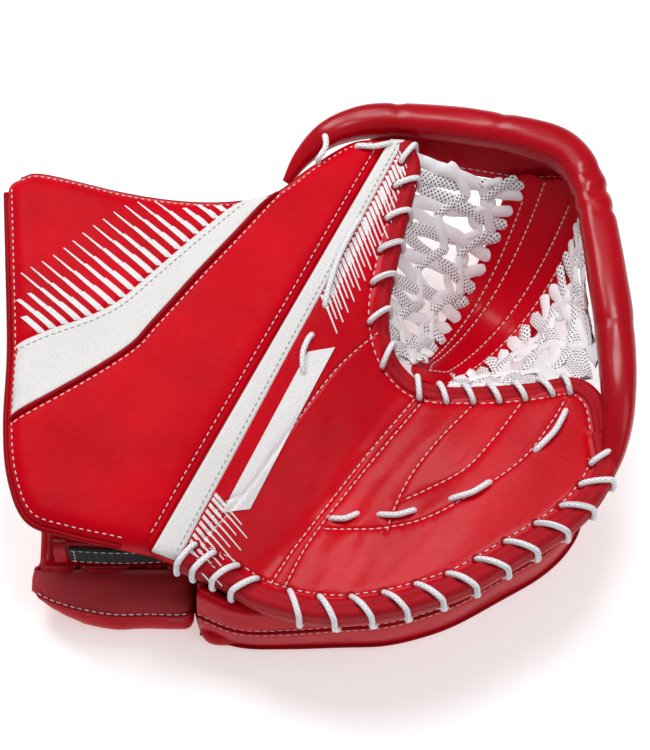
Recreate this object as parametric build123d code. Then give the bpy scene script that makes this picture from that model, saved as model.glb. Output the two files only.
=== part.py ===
from build123d import *
import os

# Ice hockey goalie's catch glove for the left hand, lying on its back with the palm up.
# +X runs from the cuff towards the fingertips, +Y towards the thumb, +Z out of the palm.
# Lengths are millimetres. The outlines below are drawn from a point near the crotch of the palm
# and moved by FRAME_SHIFT when written, so that the origin is the middle of the glove's box at
# the level it lies on. Two directions matter most: a runs along the palm crease and the
# tee, from heel to pocket, and b runs across it, from the thumb side to the finger side.

# ---- Driving dimensions ----
FRAME_SHIFT = (1.5, -5.5, 0.0)
CROTCH = (60.0, 0.0)  # where the pocket's edge crosses the palm crease
CREASE_COS = 0.6  # direction of a
CREASE_SIN = 0.8
REACH = 380.0  # longer than the glove, for solids that are trimmed to an outline
CUFF_THICK = 22.0
PALM_THICK = 14.0
AXIS_Z = 66.0  # height of the crease the palm folds about
SKIN = 2.0  # leather
FOAM = 7.5  # firm foam right behind the leather
BOARD = 3.0  # plastic stiffener
LINER = 1.5  # nylon lining
STRIPE_PROUD = 1.0
BINDING_WIDTH = 13.0
LACE_R = 2.1
HOLE_R = 2.6
LACE_ROOM = 3.2  # half the width of the slots that the laces run in along the back's wall
HOLE_INSET = 7.0  # lace holes, from the edge they lace
STITCH_CLEAR = 3.2  # palm stitches, off the highest leather under them
LACE_CLEAR = 5.2  # lace centre, off the surfaces it wraps
ROLL_R = 11.0
ROLL_CORE_R = 8.5
WEB_WIDTH = 8.0
WEB_THICK = 2.4
WEB_START = 10.0  # rungs start this far out from the laced edge
WEB_CLEAR = 6.0  # and stop this far from the tee
WEB_FLARE = 0.42  # plus this much for each millimetre above the crease, which the fold takes up
WEB_LINKS = (0.3, 0.65)  # where the linking ribbons cross each rung
BACK_FLOOR = 18.0  # height of the padded back inside the hand space
WALL_FOAM = 6.0

# Height of the catching face across the crease, as (b, z).
SECTION = [(-300, 104), (-200, 107), (-125, 108), (-90, 107), (-45, 97), (0, 77),
           (40, 84), (85, 97), (125, 104), (175, 108)]

# Outline curves of the catching face, seen from above.
CUFF_TOP = [(-182, 124), (-168, 126), (-118, 112), (-82, 106), (-51, 106), (-26, 112), (-4, 130),
            (22, 147), (48, 148)]
CUFF_END = [(-88, -124), (-114, -117), (-146, -111), (-168, -102), (-179, -76), (-183, -42),
            (-183, 7), (-187, 71), (-190, 114), (-182, 124)]
STRIPE_TOP = (53.0, 146.0)
STRIPE_HEEL = (-80.0, -126.0)
THUMB_EDGE = [(55, 145), (59, 130), (56, 113), (47, 75), (41, 38), (44, 14), (53.4, 1.2)]
THUMB_HEEL = [(-48, -134), (-65, -131), (-80, -126)]
FINGER_EDGE = [(63, -6), (91, -11), (126, -13), (154, -11), (166, -24), (170, -48)]
RIM = [(170, -48), (171, -72), (158, -95), (140, -111), (116, -126), (87, -143), (64, -151),
       (41, -156), (13, -157), (-10, -153), (-38.4, -141.2)]

# Lace holes along each laced edge: first share of the edge, last share, count.
THUMB_HOLES = (0.13, 0.95, 7)
HEEL_HOLES = (0.35, 0.9, 3)
FINGER_HOLES = (0.1, 0.72, 6)
RIM_HOLES = (0.05, 0.93, 13)
RIM_SLANT = 6.0  # how far each stitch leans along its edge
HEEL_SLANT = -3.0

# White leather inlays on the cuff.
SWOOSH_UPPER = [(-180, 7), (-164, 15), (-138, 25), (-120, 35), (-103, 51), (-82, 72), (-49, 104)]
SWOOSH_LOWER = [(-179, -37), (-146, -18), (-113, 5), (-98, 23), (-66, 63), (-31, 108)]
BREAK_STRIPE = [(45, 144), (52.4, 144), (-80.5, -124), (-94, -120)]

# Back of the hand, seen from above.
BACK_PLAN = [(-71, -138), (-47, -146), (-20, -147), (13, -146), (39, -145), (61, -140), (82, -132),
             (110, -116), (133, -102), (149, -87), (160, -69), (160, -48), (156, -34), (146, -24),
             (126, -24), (92, -22), (66, -17), (48, -20), (4, -44), (-71, -79)]
HAND_WAY_IN = [(-90, -128), (-40, -128), (66, -36), (52, 0), (-90, 0)]  # no wall here

# The tee: height of its catching face along a, and its plan as (a, b).
TEE_SECTION = [(5, 70), (30, 36), (70, 15), (105, 22), (135, 58), (156, 112)]
TEE_PLAN = [(12, -10), (75, -22), (145, -24), (153, 16), (128, 38), (75, 24), (12, 12)]
TEE_THUMB_SIDE = [(12, 10), (75, 22), (145, 24), (153, 24)]
TEE_FINGER_SIDE = [(12, 12), (75, 24), (128, 38), (153, 16)]
# The nets' rungs: share of the palm edge each starts from, and where along a it meets the tee.
THUMB_RUNGS = [(0.1, 138), (0.24, 124), (0.38, 108), (0.52, 88), (0.66, 68), (0.8, 48)]
FINGER_RUNGS = [(0.14, 42), (0.26, 60), (0.38, 78), (0.5, 94), (0.62, 108), (0.72, 120)]
TEE_LAYERS = [("tee_face", 0, -2), ("tee_foam", -2, -7), ("tee_back", -7, -9)]

# Centre lines of the perimeter roll's three lengths.
THUMB_ROLL = [(-12, 146, 90), (4, 158, 96), (24, 164, 98), (50, 164, 100), (76, 158, 104)]
TEE_ROLL = [(106, 151, 109), (130, 144, 113), (152, 133, 116)]
FINGER_ROLL = [(171, 66, 119), (174, 31, 118), (176, -4, 115), (177, -34, 107)]

# Thumb parts, along a line under the thumb side of the cuff.
THUMB_ROOT = (-8.0, 21.0, 64.0)
THUMB_TIP = (26.0, 116.0, 66.0)

FINGER_ROWS = [(40, -44, 140), (32, -66, 136), (26, -88, 122), (20, -109, 88)]  # x start, y, x end
STALL_WIDTH = 20.0
STALL_HEIGHT = 22.0
STALL_Z = 51.0
STALL_WALL = 1.5

THUMB_WIDTH = 34.0
THUMB_HEIGHT = 30.0
THUMB_WALL = 2.0
GUARD_WIDTH = 46.0
GUARD_HEIGHT = 44.0
GUARD_THICK = 4.0
GUARD_TIP = 8.0
GUARD_OPEN = 14.0  # the guard is cut off this far above the thumb's centre line

# Wrist pad: a trough under the forearm, as (y, z), and its plan.
PAD_OUTER = [(-124, 0), (-136, 8), (-139, 20), (-132, 34), (-115, 44)]
PAD_INNER = [(-107, 39), (-118, 29), (-118, 22), (-108, 18)]
PAD_TOP_Y = -30.0
PAD_PLAN = [(-72.5, -150), (-72.5, -20), (-150, -20), (-166, -30), (-174, -70), (-176, -100),
            (-166, -125), (-140, -140), (-110, -150)]
PAD_SKIN = 2.0
STRAP_END = (-74.0, -152.0)  # x of the sewn end and of the free end
STRAP_Y = -105.0
STRAP_LOW = 47.0
STRAP_HIGH = 70.0
STRAP_THICK = 2.5
STRAP_TIP = 6.0
ANCHOR_THICK = 3.0
ANCHOR_CORNER = (-71.0, -128.0)
ANCHOR_TOP = 64.0
HAND_STRAP_X = -20.0
HAND_STRAP_WIDTH = 38.0
HAND_STRAP_THICK = 2.0
HAND_STRAP_Z = 40.0
HAND_STRAP_ROUTE = [(-138.0, 40.0), (-62.0, 40.0), (-54.0, 19.5)]  # (y, z) from side wall to back liner

# Ends of the short lace stitches, seen from above.
PALM_STITCHES = [((8, -92), (23, -90)), ((36, -92), (56, -91)), ((78, -86), (100, -77)),
                 ((128, -57), (146, -32))]
THUMB_STITCHES = [((31, 90), (9, 34)), ((-4, 16), (-8, -8))]


def crease_plane():
    """Section plane across the crease: local x is b, local y is up."""
    return Plane(origin=(*CROTCH, 0), x_dir=(CREASE_SIN, -CREASE_COS, 0), z_dir=(-CREASE_COS, -CREASE_SIN, 0))


def tee_plane():
    """Section plane along the crease: local x is a, local y is up."""
    return Plane(origin=(*CROTCH, 0), x_dir=(CREASE_COS, CREASE_SIN, 0), z_dir=(CREASE_SIN, -CREASE_COS, 0))


def plan(a, b, z=0.0):
    return Vector(CROTCH[0] + CREASE_COS * a + CREASE_SIN * b, CROTCH[1] + CREASE_SIN * a - CREASE_COS * b, z)


def between(points, x):
    """Second value of a list of pairs at x, straight between them."""
    for (x0, y0), (x1, y1) in zip(points, points[1:]):
        if x <= x1:
            return y0 + (y1 - y0) * (x - x0) / (x1 - x0)
    return points[-1][1]


def face_height(x, y):
    return between(SECTION, (x - CROTCH[0]) * CREASE_SIN - (y - CROTCH[1]) * CREASE_COS)


def swept_band(plane, section, top, bottom):
    """Layer between two depths under a section curve, extruded both ways from its plane."""
    upper = Spline(*[(u, z + top) for u, z in section])
    lower = Spline(*[(u, z + bottom) for u, z in section])
    outline = Wire([upper, Line(upper @ 1, lower @ 1), lower, Line(lower @ 0, upper @ 0)])
    return extrude(plane * make_face(outline), amount=REACH, both=True)


def region(*curves):
    """Face bounded by curves given as point lists: two points are a line, more are a spline."""
    return make_face(Wire([Line(*c) if len(c) == 2 else Spline(*c) for c in curves]))


def polygon(points):
    return make_face(Polyline(*points, close=True))


def inset(face, amount):
    return offset(face, amount=-amount, kind=Kind.INTERSECTION)


def faceted(face, count=120):
    """The same face with its outline as straight steps, which cuts cleanly against curved layers."""
    wire = face.faces()[0].outer_wire()
    return polygon([wire.position_at(i / count) for i in range(count)])


def prism(face, low=-20.0, high=200.0):
    return extrude(Pos(0, 0, low) * face, amount=high - low)


def layer(face, top, bottom):
    """The part of the catching face's layer that lies over a plan face."""
    return prism(face) & swept_band(crease_plane(), SECTION, top, bottom)


def tube(points, radius, bend):
    """Round bar along straight runs joined by arcs."""
    path = FilletPolyline(*points, radius=bend) if len(points) > 2 else Line(*points)
    return sweep((Plane(origin=path @ 0, z_dir=path % 0)) * Circle(radius), path=path)


def save(name, *shapes):
    solids = [s for shape in shapes for s in shape.solids()]
    shape = solids[0] if len(solids) == 1 else Compound(children=solids)
    export_step(Pos(*FRAME_SHIFT) * shape, f"parts/{name}.step")


def edge_frame(edge, t, side):
    """Point, tangent and outward direction at t along a plan curve; side picks the outward side."""
    point = edge @ t
    along = edge % t
    return point, along, Vector(along.Y, -along.X, 0) * side


def lace_stations(first, last, count):
    return [first + (last - first) * i / (count - 1) for i in range(count)]


def hole_points(edge, stations, side):
    frames = [edge_frame(edge, t, side) for t in stations]
    return [point - outward * HOLE_INSET for point, along, outward in frames]


def lace_route(edge, stations, side, slant):
    """Corners of a whip lace: up a hole, over the edge and down it, then under to the next hole."""
    route = []
    for t, hole in zip(stations, hole_points(edge, stations, side)):
        point, along, outward = edge_frame(edge, t, side)
        top = face_height(hole.X, hole.Y)
        rim = point + outward * LACE_CLEAR + along * slant
        rim_top = face_height(point.X, point.Y)
        route += [(hole.X, hole.Y, top - PALM_THICK - LACE_CLEAR), (hole.X, hole.Y, top + LACE_CLEAR),
                  (rim.X, rim.Y, rim_top + LACE_CLEAR), (rim.X, rim.Y, rim_top - PALM_THICK - LACE_CLEAR)]
    return route


def whip_lace(edge, stations, side, slant):
    return tube(lace_route(edge, stations, side, slant), LACE_R, LACE_R + 1.5)


def lace_room(route):
    """Upright slots round a whip lace's lower runs, open towards the palm."""
    slots = []
    for here, there in [(route[0], route[3]), *zip(route[3::4], route[4::4]), (route[-4], route[-1])]:
        start, end = Vector(*here[:2]), Vector(*there[:2])
        run = (end - start).normalized() * LACE_ROOM
        side = Vector(-run.Y, run.X)
        corners = [start - run - side, end + run - side, end + run + side, start - run + side]
        slots.append(prism(polygon(corners), min(here[2], there[2]) - LACE_ROOM))
    return slots


def drilled(solid, holes):
    for p in holes:
        solid -= Pos(p.X, p.Y, 100) * Cylinder(HOLE_R, 200)
    return solid


def cuff_parts():
    face = region(CUFF_TOP, [CUFF_TOP[-1], STRIPE_TOP], [STRIPE_TOP, STRIPE_HEEL],
                  [STRIPE_HEEL, CUFF_END[0]], CUFF_END)
    core = faceted(inset(face, SKIN))
    lining = CUFF_THICK - LINER
    soft = SKIN + FOAM + BOARD
    save("cuff_cover", layer(face, 0, -lining) - layer(core, -SKIN, -CUFF_THICK))
    save("cuff_firm_foam", layer(core, -SKIN, -SKIN - FOAM))
    save("cuff_board", layer(core, -SKIN - FOAM, -soft))
    save("cuff_soft_foam", layer(core, -soft, -lining))
    save("cuff_liner", layer(face, -lining, -CUFF_THICK))
    swoosh = region(SWOOSH_UPPER, [SWOOSH_UPPER[-1], SWOOSH_LOWER[-1]], SWOOSH_LOWER,
                    [SWOOSH_LOWER[0], SWOOSH_UPPER[0]])
    save("swoosh_stripe", layer(swoosh, STRIPE_PROUD, 0))
    save("break_stripe", layer(polygon(BREAK_STRIPE), STRIPE_PROUD, 0))


def strip_zone(edge):
    """Tall solid over the binding strip along an edge curve."""
    return prism(trace(edge, 2 * BINDING_WIDTH))


def palm_layers(face, strips, prefix):
    """The sandwich behind a palm half's leather, clear of the binding strips."""
    soft = SKIN + FOAM
    stiff = soft + BOARD
    for name, top, bottom in (("skin", 0, SKIN), ("foam", SKIN, soft), ("board", soft, stiff),
                              ("liner", stiff, PALM_THICK)):
        solids = (layer(face, -top, -bottom) - strips).solids()
        save(f"{prefix}_{name}", max(solids, key=lambda solid: solid.volume))


def thumb_palm_parts():
    face = region([STRIPE_TOP, THUMB_EDGE[0]], THUMB_EDGE, [THUMB_EDGE[-1], THUMB_HEEL[0]], THUMB_HEEL,
                  [STRIPE_HEEL, STRIPE_TOP])
    edge = Spline(*THUMB_EDGE)
    heel = Spline(*THUMB_HEEL)
    edge_zone = strip_zone(edge)
    heel_zone = strip_zone(heel) - edge_zone
    slab = layer(face, 0, -PALM_THICK)
    palm_layers(face, edge_zone + heel_zone, "thumb_palm")
    edge_stations = lace_stations(*THUMB_HOLES)
    heel_stations = lace_stations(*HEEL_HOLES)
    save("thumb_edge_binding", drilled(slab & edge_zone, hole_points(edge, edge_stations, -1)))
    save("thumb_heel_binding", drilled(slab & heel_zone, hole_points(heel, heel_stations, -1)))
    save("thumb_edge_lace", whip_lace(edge, edge_stations, -1, 3.0))
    save("thumb_heel_lace", whip_lace(heel, heel_stations, -1, HEEL_SLANT))


def finger_palm_parts():
    face = region(FINGER_EDGE, RIM, [RIM[-1], FINGER_EDGE[0]])
    edge = Spline(*FINGER_EDGE)
    rim = Spline(*RIM)
    rim_zone = strip_zone(rim)
    edge_zone = strip_zone(edge) - rim_zone
    slab = layer(face, 0, -PALM_THICK)
    palm_layers(face, edge_zone + rim_zone, "finger_palm")
    edge_stations = lace_stations(*FINGER_HOLES)
    rim_stations = lace_stations(*RIM_HOLES)
    save("finger_edge_binding", drilled(slab & edge_zone, hole_points(edge, edge_stations, -1)))
    save("rim_binding", drilled(slab & rim_zone, hole_points(rim, rim_stations, -1)))
    save("finger_edge_lace", whip_lace(edge, edge_stations, -1, -3.0))
    save("rim_lace", whip_lace(rim, rim_stations, -1, RIM_SLANT))


def back_parts():
    """Padded shell over the back of the hand, with a wall round the fingers."""
    face = polygon(BACK_PLAN)
    core = inset(face, SKIN)
    space = inset(face, SKIN + WALL_FOAM)
    way_in = prism(polygon(HAND_WAY_IN), BACK_FLOOR)
    under_palm = swept_band(crease_plane(), SECTION, -PALM_THICK - 0.3, -140)
    laces = lace_room(lace_route(Spline(*RIM), lace_stations(*RIM_HOLES), -1, RIM_SLANT))
    laces += lace_room(lace_route(Spline(*THUMB_HEEL), lace_stations(*HEEL_HOLES), -1, HEEL_SLANT))
    wall = (prism(face - core, SKIN) & under_palm) - way_in - laces
    save("back_cover", prism(face, 0, SKIN) + wall)
    wall_foam = (prism(core - space, BACK_FLOOR) & under_palm) - way_in - laces
    save("back_foam", prism(core, SKIN, BACK_FLOOR) + wall_foam)
    save("back_liner", prism(space, BACK_FLOOR, BACK_FLOOR + LINER))


def tee_parts():
    """Stiff tongue between the two nets: face, foam and back, bent along a."""
    outline = polygon([plan(a, b) for a, b in TEE_PLAN])
    for name, top, bottom in TEE_LAYERS:
        save(name, prism(outline) & swept_band(tee_plane(), TEE_SECTION, top, bottom))


def roll(points, name):
    """Padded roll: a cover round a foam core, straight-cut ends."""
    path = Spline(*points)
    start = Plane(origin=path @ 0, z_dir=path % 0)
    core = sweep(start * Circle(ROLL_CORE_R), path=path)
    save(name + "_core", core)
    save(name + "_cover", sweep(start * (Circle(ROLL_R) - Circle(ROLL_CORE_R)), path=path))


def roll_parts():
    roll(THUMB_ROLL, "thumb_roll")
    roll(TEE_ROLL, "tee_roll")
    roll(FINGER_ROLL, "finger_roll")


def capsule(width, height, shrink=0.0):
    """Rounded oblong, the section of a finger stall."""
    return RectangleRounded(width - 2 * shrink, height - 2 * shrink, min(width, height) / 2 - shrink - 0.01)


def stall_parts():
    """Sleeves for the fingers, open at the wrist end, and the thumb's stall and guard."""
    sleeves = []
    for x_start, y, x_end in FINGER_ROWS:
        start = Plane(origin=(x_start, y, STALL_Z), x_dir=(0, 1, 0), z_dir=(1, 0, 0))
        length = x_end - x_start
        outer = extrude(start * capsule(STALL_WIDTH, STALL_HEIGHT), amount=length)
        inner = extrude(start * capsule(STALL_WIDTH, STALL_HEIGHT, STALL_WALL), amount=length - STALL_WALL)
        sleeves.append(outer - inner)
    save("finger_stalls", *sleeves)

    along = Vector(*THUMB_TIP) - Vector(*THUMB_ROOT)
    start = Plane(origin=THUMB_ROOT, x_dir=(0, 0, 1), z_dir=along)
    outer = extrude(start * capsule(THUMB_HEIGHT, THUMB_WIDTH), amount=along.length)
    inner = extrude(start * capsule(THUMB_HEIGHT, THUMB_WIDTH, THUMB_WALL), amount=along.length - THUMB_WALL)
    save("thumb_stall", outer - inner)
    length = along.length + GUARD_TIP
    shell = extrude(start * capsule(GUARD_HEIGHT, GUARD_WIDTH), amount=length)
    hollow = extrude(start * capsule(GUARD_HEIGHT, GUARD_WIDTH, GUARD_THICK), amount=length - GUARD_THICK)
    under = (Align.CENTER, Align.CENTER, Align.MAX)
    below = Pos(0, 0, THUMB_ROOT[2] + GUARD_OPEN) * Box(REACH, REACH, 120, align=under)
    save("thumb_guard", (shell - hollow) & below)


def ribbon(start, end):
    """Straight flat lace lying as level as its two ends allow."""
    along = end - start
    across = Vector(-along.Y, along.X, 0).normalized()
    flat = Plane(origin=start, x_dir=across, z_dir=along)
    return extrude(flat * Rectangle(WEB_WIDTH, WEB_THICK), amount=along.length)


def web(edge, side, stations, tee_side, name):
    """Flat laces from a palm edge to the tee, with ribbons linking each rung to the next.

    Each rung stops short of the tee by what the tee's own bending needs."""
    rungs = []
    for t, a in stations:
        point, along, outward = edge_frame(edge, t, side)
        start = point + outward * WEB_START
        start.Z = face_height(point.X, point.Y) - PALM_THICK / 2
        height = between(TEE_SECTION, a) - 4
        clear = WEB_CLEAR + max(0.0, height - AXIS_Z) * WEB_FLARE
        half_width = between(TEE_FINGER_SIDE if tee_side > 0 else TEE_THUMB_SIDE, a)
        rungs.append((start, plan(a, tee_side * (half_width + clear), height)))
    solid = ribbon(*rungs[0])
    for rung in rungs[1:]:
        solid += ribbon(*rung)
    for share in WEB_LINKS:
        marks = [start + (end - start) * share for start, end in rungs]
        for here, there in zip(marks, marks[1:]):
            solid += ribbon(here, there)
    save(name, solid)


def web_parts():
    web(Spline(*THUMB_EDGE), -1, THUMB_RUNGS, -1, "thumb_web")
    web(Spline(*FINGER_EDGE), -1, FINGER_RUNGS, 1, "finger_web")


def wrist_parts():
    """Padded flap under the wrist, hinged at the hand's back, and the strap beside it."""
    outline = prism(polygon(PAD_PLAN))
    inner_outline = prism(inset(polygon(PAD_PLAN), PAD_SKIN))
    side = Plane(origin=(0, 0, 0), x_dir=(0, 1, 0), z_dir=(1, 0, 0))

    def trough(shift):
        low = PAD_OUTER[0][1] + shift
        end_y, end_z = PAD_OUTER[-1]
        outer = Spline(*[(y + shift, max(z, low)) for y, z in PAD_OUTER[:-1]], (end_y, end_z - shift))
        inner = Spline(*PAD_INNER)
        inner_top = (PAD_TOP_Y, PAD_INNER[-1][1])
        outer_top = (PAD_TOP_Y, low)
        wire = Wire([Line(outer_top, outer @ 0), outer, Line(outer @ 1, inner @ 0), inner,
                     Line(inner @ 1, inner_top), Line(inner_top, outer_top)])
        return extrude(side * make_face(wire), amount=REACH, both=True)

    whole = trough(0) & outline
    foam = trough(PAD_SKIN) & inner_outline
    save("wrist_pad_foam", foam)
    save("wrist_pad_cover", whole - foam)


def strap_parts():
    """Hook-and-loop wrist strap: red web, black loop face outside it, and a bound tip."""
    sewn, free = STRAP_END
    height = STRAP_HIGH - STRAP_LOW
    start = Pos(sewn, STRAP_Y, STRAP_LOW)
    corner = (Align.MAX, Align.CENTER, Align.MIN)
    save("strap_band", start * Box(sewn - free, STRAP_THICK, height, align=corner))
    face = Pos(sewn - 10, STRAP_Y - STRAP_THICK, STRAP_LOW + 2)
    save("strap_loop_face", face * Box(sewn - free - 14, STRAP_THICK, height - 4, align=corner))
    tip = Pos(free, STRAP_Y, STRAP_LOW - 1) * Box(STRAP_TIP, 3 * STRAP_THICK, height + 2, align=corner)
    save("strap_tip", tip)


def hand_strap_parts():
    """Adjustable strap over the back of the hand, its buckle, and the anchor of the wrist strap."""
    route = FilletPolyline(*[(HAND_STRAP_X, y, z) for y, z in HAND_STRAP_ROUTE], radius=8)
    start = Plane(origin=route @ 0, x_dir=(1, 0, 0), z_dir=route % 0)
    save("hand_strap", sweep(start * Rectangle(HAND_STRAP_WIDTH, HAND_STRAP_THICK), path=route))
    y, z = HAND_STRAP_ROUTE[0]
    frame = Box(HAND_STRAP_WIDTH + 8, 15, HAND_STRAP_THICK + 3) - Box(HAND_STRAP_WIDTH, 20, HAND_STRAP_THICK)
    save("hand_strap_buckle", Pos(HAND_STRAP_X, y + 22, z) * frame)
    anchor = Pos(*ANCHOR_CORNER, BACK_FLOOR) * Box(ANCHOR_THICK, 28, ANCHOR_TOP - BACK_FLOOR, align=Align.MIN)
    save("strap_anchor", anchor)


def palm_lace_parts():
    """Short runs of lace stitched along the palm: each goes in and comes out again."""
    for name, runs in (("palm_lace", PALM_STITCHES), ("thumb_lace", THUMB_STITCHES)):
        stitches = []
        for (x0, y0), (x1, y1) in runs:
            high = max(face_height(x0 + (x1 - x0) * t, y0 + (y1 - y0) * t) for t in (0, 0.25, 0.5, 0.75, 1))
            z = high + LACE_R + STITCH_CLEAR
            stitches.append(tube([(x0, y0, z), (x1, y1, z)], LACE_R, LACE_R + 1))
        save(name, *stitches)


os.makedirs("parts", exist_ok=True)
cuff_parts()
thumb_palm_parts()
finger_palm_parts()
back_parts()
tee_parts()
roll_parts()
stall_parts()
web_parts()
wrist_parts()
strap_parts()
hand_strap_parts()
palm_lace_parts()
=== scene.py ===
import math
import random

import bpy
import numpy as np
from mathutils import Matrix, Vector, geometry, noise
from mathutils.bvhtree import BVHTree


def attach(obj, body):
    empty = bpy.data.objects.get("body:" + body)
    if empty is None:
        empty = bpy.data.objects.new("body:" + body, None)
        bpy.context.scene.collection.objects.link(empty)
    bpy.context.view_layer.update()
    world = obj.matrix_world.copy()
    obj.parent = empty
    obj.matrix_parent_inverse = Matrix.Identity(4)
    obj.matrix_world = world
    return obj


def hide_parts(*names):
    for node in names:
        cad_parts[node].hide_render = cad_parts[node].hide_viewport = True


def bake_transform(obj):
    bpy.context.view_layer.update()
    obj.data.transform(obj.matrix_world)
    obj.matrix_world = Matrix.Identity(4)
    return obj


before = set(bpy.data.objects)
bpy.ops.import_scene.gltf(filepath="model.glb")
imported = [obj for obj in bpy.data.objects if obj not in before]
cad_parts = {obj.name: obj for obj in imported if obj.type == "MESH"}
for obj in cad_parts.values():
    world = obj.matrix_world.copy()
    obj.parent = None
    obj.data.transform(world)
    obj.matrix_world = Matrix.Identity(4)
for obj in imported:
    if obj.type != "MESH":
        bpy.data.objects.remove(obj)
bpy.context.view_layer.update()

# Goalie catch glove. Lengths are millimetres until a mesh is made; MM turns them into metres.
MM = 0.001
RNG = random.Random(7)

# ---- Camera, light and floor ----
CAMERA_AIM = Vector((5.5, -5.8, 80.0)) * MM
CAMERA_ELEVATION = math.radians(65)
CAMERA_DISTANCE = 1.8
CAMERA_LENS = 144.0

# ---- The catching face, as in the CAD: its height across the crease, and its outlines ----
FRAME_SHIFT = np.array([1.5, -5.5, 0.0])  # from the outlines' own zero to the shared frame
CROTCH = np.array([60.0, 0.0])
CREASE = np.array([0.6, 0.8])  # along a, from heel to pocket
ACROSS = np.array([0.8, -0.6])  # along b, from the thumb side to the finger side
SECTION = [(-300, 104), (-200, 107), (-125, 108), (-90, 107), (-45, 97), (0, 77), (40, 84),
           (85, 97), (125, 104), (175, 108)]
CUFF_THICK = 22.0
PALM_THICK = 14.0

CUFF_TOP = [(-182, 124), (-168, 126), (-118, 112), (-82, 106), (-51, 106), (-26, 112), (-4, 130),
            (22, 147), (45, 148)]
CUFF_END = [(-94, -120), (-114, -117), (-146, -111), (-168, -102), (-179, -76), (-183, -42),
            (-183, 7), (-187, 71), (-190, 114), (-182, 124)]
SWOOSH_UPPER = [(-181, 7), (-164, 15), (-138, 25), (-120, 35), (-103, 51), (-82, 72), (-46, 107)]
SWOOSH_LOWER = [(-181, -39), (-146, -18), (-113, 5), (-98, 23), (-66, 63), (-26, 112)]
STRIPE_LEFT = [(44, 146), (-96, -121)]
STRIPE_RIGHT = [(53, 146), (-81, -125)]
POCKET_EDGE = [(55, 145), (60, 130), (56, 113), (47, 75), (40, 38), (43, 14), (54, 0), (68, -7), (91, -11),
               (126, -12), (152, -11), (166, -24), (170, -48)]
RIM = [(170, -48), (171, -72), (158, -95), (140, -111), (116, -126), (87, -143), (64, -151),
       (41, -156), (13, -157), (-10, -153), (-38, -142), (-56, -132), (-81, -125)]
TEE_SECTION = [(2, 72), (12, 60), (30, 38), (50, 24), (70, 17), (90, 17), (112, 29), (132, 55),
               (146, 86), (154, 108)]
TEE_OUTLINE = [(6, -9), (30, -17), (75, -26), (120, -31), (143, -32), (150, -10), (154, 8), (152, 20),
               (134, 28), (110, 28), (75, 25), (30, 19), (6, 10)]
ROLL_ROUTE = [(-20, 131, 80), (-10, 144, 88), (6, 156, 96), (26, 163, 98), (50, 163, 101), (78, 158, 105),
              (106, 151, 110), (130, 143, 114), (150, 132, 116), (161, 114, 117), (167, 88, 117),
              (171, 58, 117), (174, 28, 117), (176, -4, 115), (176, -36, 111), (173, -58, 103),
              (168, -74, 96)]
ROLL_RADII = [3, 6, 9, 10.5, 11, 11.5, 11.5, 12, 12.5, 12, 12, 12.5, 12.5, 12, 10.5, 8, 5]
BACK_OUTLINE = [(-71, -138), (-47, -146), (-20, -147), (13, -146), (39, -145), (61, -140), (82, -132),
                (110, -116), (133, -102), (149, -87), (159, -69), (160, -48), (156, -34), (146, -25),
                (126, -24), (92, -22), (66, -18), (48, -21), (4, -44), (-71, -79)]


# ================= curves and surfaces =================

def catmull(points, step=2.0, closed=False):
    """Smooth curve through given points, resampled about every step."""
    p = np.array(points, float)
    if closed:
        p = np.vstack([p[-1], p, p[0], p[1]])
    else:
        p = np.vstack([2 * p[0] - p[1], p, 2 * p[-1] - p[-2]])
    out = []
    for p0, p1, p2, p3 in zip(p, p[1:], p[2:], p[3:]):
        count = max(2, int(np.linalg.norm(p2 - p1) / step * 2))
        t = np.linspace(0, 1, count, endpoint=False)[:, None]
        out.append(0.5 * (2 * p1 + (p2 - p0) * t + (2 * p0 - 5 * p1 + 4 * p2 - p3) * t**2
                          + (3 * p1 - p0 - 3 * p2 + p3) * t**3))
    out = np.vstack(out + [p[-2][None] if not closed else out[0][:1]])
    return resample(out, step)


def resample(line, step=2.0, count=None):
    """The same line with points evenly spaced along it."""
    line = np.array(line, float)
    reach = np.concatenate([[0], np.cumsum(np.linalg.norm(np.diff(line, axis=0), axis=1))])
    count = count or max(2, int(round(reach[-1] / step)) + 1)
    at = np.linspace(0, reach[-1], count)
    return np.stack([np.interp(at, reach, line[:, k]) for k in range(line.shape[1])], axis=1)


SECTION_FINE = catmull(SECTION, 2.0)
TEE_FINE = catmull(TEE_SECTION, 1.0)


def ab(xy):
    """Crease coordinates (a, b) of plan points."""
    d = np.asarray(xy, float)[..., :2] - CROTCH
    return d @ CREASE, d @ ACROSS


def plan(a, b):
    return CROTCH + CREASE * np.asarray(a)[..., None] + ACROSS * np.asarray(b)[..., None]


def face_z(xy):
    """Height of the catching face over plan points."""
    a, b = ab(xy)
    return np.interp(b, SECTION_FINE[:, 0], SECTION_FINE[:, 1])


def tee_z(xy):
    """Height of the tee: its long section, dished a little across."""
    a, b = ab(xy)
    return np.interp(a, TEE_FINE[:, 0], TEE_FINE[:, 1]) + 0.004 * b**2


def lift(xy, height=face_z, up=0.0):
    """Plan line laid on a height function."""
    return np.column_stack([xy, height(xy) + up])


def distance_to(points, line):
    """Distance from each point to a polyline."""
    best = np.full(len(points), 1e9)
    for start, end in zip(line, line[1:]):
        d = end - start
        t = np.clip(((points - start) @ d) / max(d @ d, 1e-9), 0, 1)
        best = np.minimum(best, np.linalg.norm(points - start - t[:, None] * d, axis=1))
    return best


def inside(points, loop):
    """Even-odd test against a closed loop."""
    x, y = points[:, 0], points[:, 1]
    hit = np.zeros(len(points), bool)
    for (x0, y0), (x1, y1) in zip(loop, np.roll(loop, -1, axis=0)):
        crosses = (y0 > y) != (y1 > y)
        with np.errstate(divide="ignore", invalid="ignore"):
            hit ^= crosses & (x < (x1 - x0) * (y - y0) / (y1 - y0) + x0)
    return hit


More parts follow.
